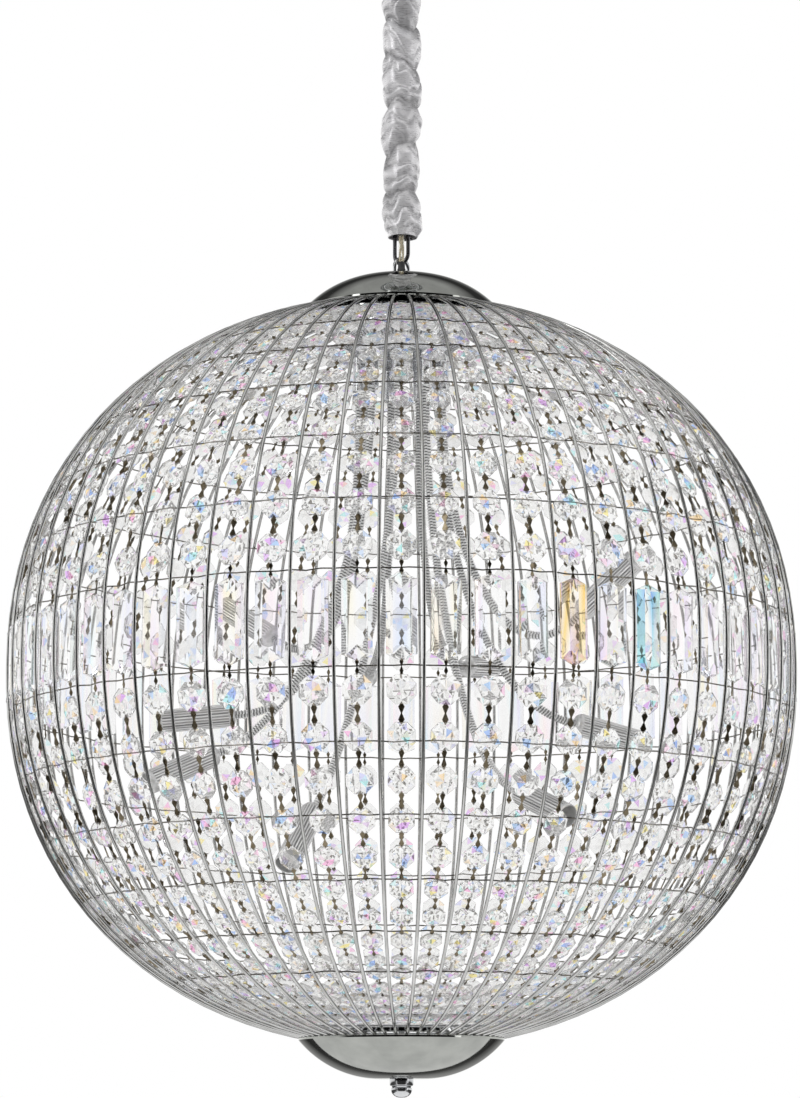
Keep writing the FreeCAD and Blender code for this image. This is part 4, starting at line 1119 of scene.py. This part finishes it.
# What polished metal sees, as stops of (direction, brightness), where direction is 0 toward the
# camera and 1 behind the lamp. Each band of ROOM takes over from the one below it between two
# heights of the sight line.
LOW_ROOM = ((0.0, 0.5), (0.4, 0.5), (0.6, 0.1), (1.0, 0.05))
DARK_WALL = ((0.0, 0.03), (0.13, 0.04), (0.17, 0.55), (0.21, 0.55), (0.25, 0.1), (0.5, 0.06),
             (0.9, 0.04), (0.97, 0.3), (1.0, 0.35))
BACKDROP = ((0.0, 0.0), (0.27, 0.01), (0.36, 0.8), (1.0, 1.0))
HIGH_ROOM = ((0.0, 0.9), (0.4, 0.85), (0.5, 0.6), (0.6, 0.5), (0.8, 0.45), (1.0, 0.3))
ROOM = ((DARK_WALL, -0.56, -0.42), (BACKDROP, -0.14, -0.06), (DARK_WALL, 0.3, 0.42),
        (HIGH_ROOM, 0.66, 0.82))
# What shows through the crystals, by the same direction.
THROUGH_GLASS = (
    (0.0, (0.5, 0.44, 0.36)), (0.02, (0.8, 0.78, 0.74)), (0.05, (1, 1, 1)), (0.3, (1, 1, 1)),
    (0.34, (0.72, 0.76, 0.82)), (0.38, (1, 1, 1)), (1.0, (1, 1, 1)),
)
WHITE_LIGHT = (1, 1, 1, 1)


def make_world():
    """White where the camera sees it; metal sees a room with dark and bright parts."""
    world = bpy.data.worlds.new("studio")
    bpy.context.scene.world = world
    world.use_nodes = True
    tree = world.node_tree
    tree.nodes.clear()
    split = add_node(tree, "SeparateXYZ", {0: add_node(tree, "TexCoord", {}).outputs["Generated"]})
    direction = add_node(tree, "MapRange", {"Value": split.outputs["Y"],
                                            "From Min": -1.0}).outputs["Result"]

    def grey_ramp(stops):
        return ramp_node(tree, direction, [(where, (level, level, level * 0.99))
                                           for where, level in stops])

    def background(colour):
        return add_node(tree, "Background", {"Color": colour, "Strength": 1.0}).outputs[0]

    room = grey_ramp(LOW_ROOM)
    for stops, low, high in ROOM:
        rise = add_node(tree, "MapRange", {"Value": split.outputs["Z"], "From Min": low,
                                           "From Max": high}).outputs["Result"]
        mix = add_node(tree, "Mix", {"Factor": rise, "A": room, "B": grey_ramp(stops)},
                       data_type="RGBA")
        room = mix.outputs["Result"]
    glass_room = ramp_node(tree, direction, THROUGH_GLASS)
    paths = add_node(tree, "LightPath", {})
    result = background(WHITE_LIGHT)
    for kind, colour in (("Is Glossy Ray", room), ("Is Transmission Ray", glass_room),
                         ("Is Camera Ray", WHITE_LIGHT)):
        result = add_node(tree, "MixShader", {0: paths.outputs[kind], 1: result,
                                              2: background(colour)}).outputs[0]
    add_node(tree, "OutputWorld", {0: result})


def aim(thing, place, way):
    """Put a light or the camera at a place, looking one way."""
    thing.location = place
    thing.rotation_mode = "QUATERNION"
    thing.rotation_quaternion = way.to_track_quat("-Z", "Y")


def make_lights():
    """Two tall lights that point at the globe's middle, the stronger one at the left."""
    for name, place, width, power in (("key", (-1.7, -1.3, 0.5), 0.35, 7),
                                      ("fill", (1.9, -0.9, -0.2), 0.3, 3)):
        data = bpy.data.lights.new(name, "AREA")
        data.shape = "RECTANGLE"
        data.size, data.size_y = width, 2.2
        data.energy = power
        aim(new_object(name, data), place, CENTRE - Vector(place))


# The photograph in pixels, and where the camera stood: so many globe radii away and so many
# degrees below the globe's middle.
PHOTO_WIDTH, PHOTO_HEIGHT = 800, 1098
GLOBE_AT, GLOBE_PIXELS = (401.5, 672.0), 396.0
RADII_AWAY = 10.0
CAMERA_DROP = 7.5
SENSOR = 36.0


def make_camera():
    """The camera at the photograph's place, angle and field of view."""
    focal = GLOBE_PIXELS * math.sqrt(RADII_AWAY ** 2 - 1)
    data = bpy.data.cameras.new("camera")
    data.sensor_width = SENSOR
    data.lens = SENSOR * focal / PHOTO_HEIGHT
    camera = new_object("camera", data)
    drop = math.radians(CAMERA_DROP)
    away = RADII_AWAY * GLOBE_RADIUS
    place = CENTRE + Vector((0, -away * math.cos(drop), -away * math.sin(drop)))
    pan = math.atan((GLOBE_AT[0] - PHOTO_WIDTH / 2) / focal)
    tilt = math.atan((GLOBE_AT[1] - PHOTO_HEIGHT / 2) / focal)
    look = Vector((-math.sin(pan), math.cos(pan) * math.cos(drop + tilt),
                   math.cos(pan) * math.sin(drop + tilt)))
    aim(camera, place, look)
    data.clip_end = 50
    bpy.context.scene.camera = camera


bpy.context.scene.view_settings.view_transform = "Standard"
make_camera()
make_world()
make_lights()
make_floor()
make_canopy()
make_chain()
make_loops()
make_sleeve()
make_cable()
make_caps()
make_rods()
make_rings()
make_prisms()
make_strands()
make_lamps()
dress_cad()
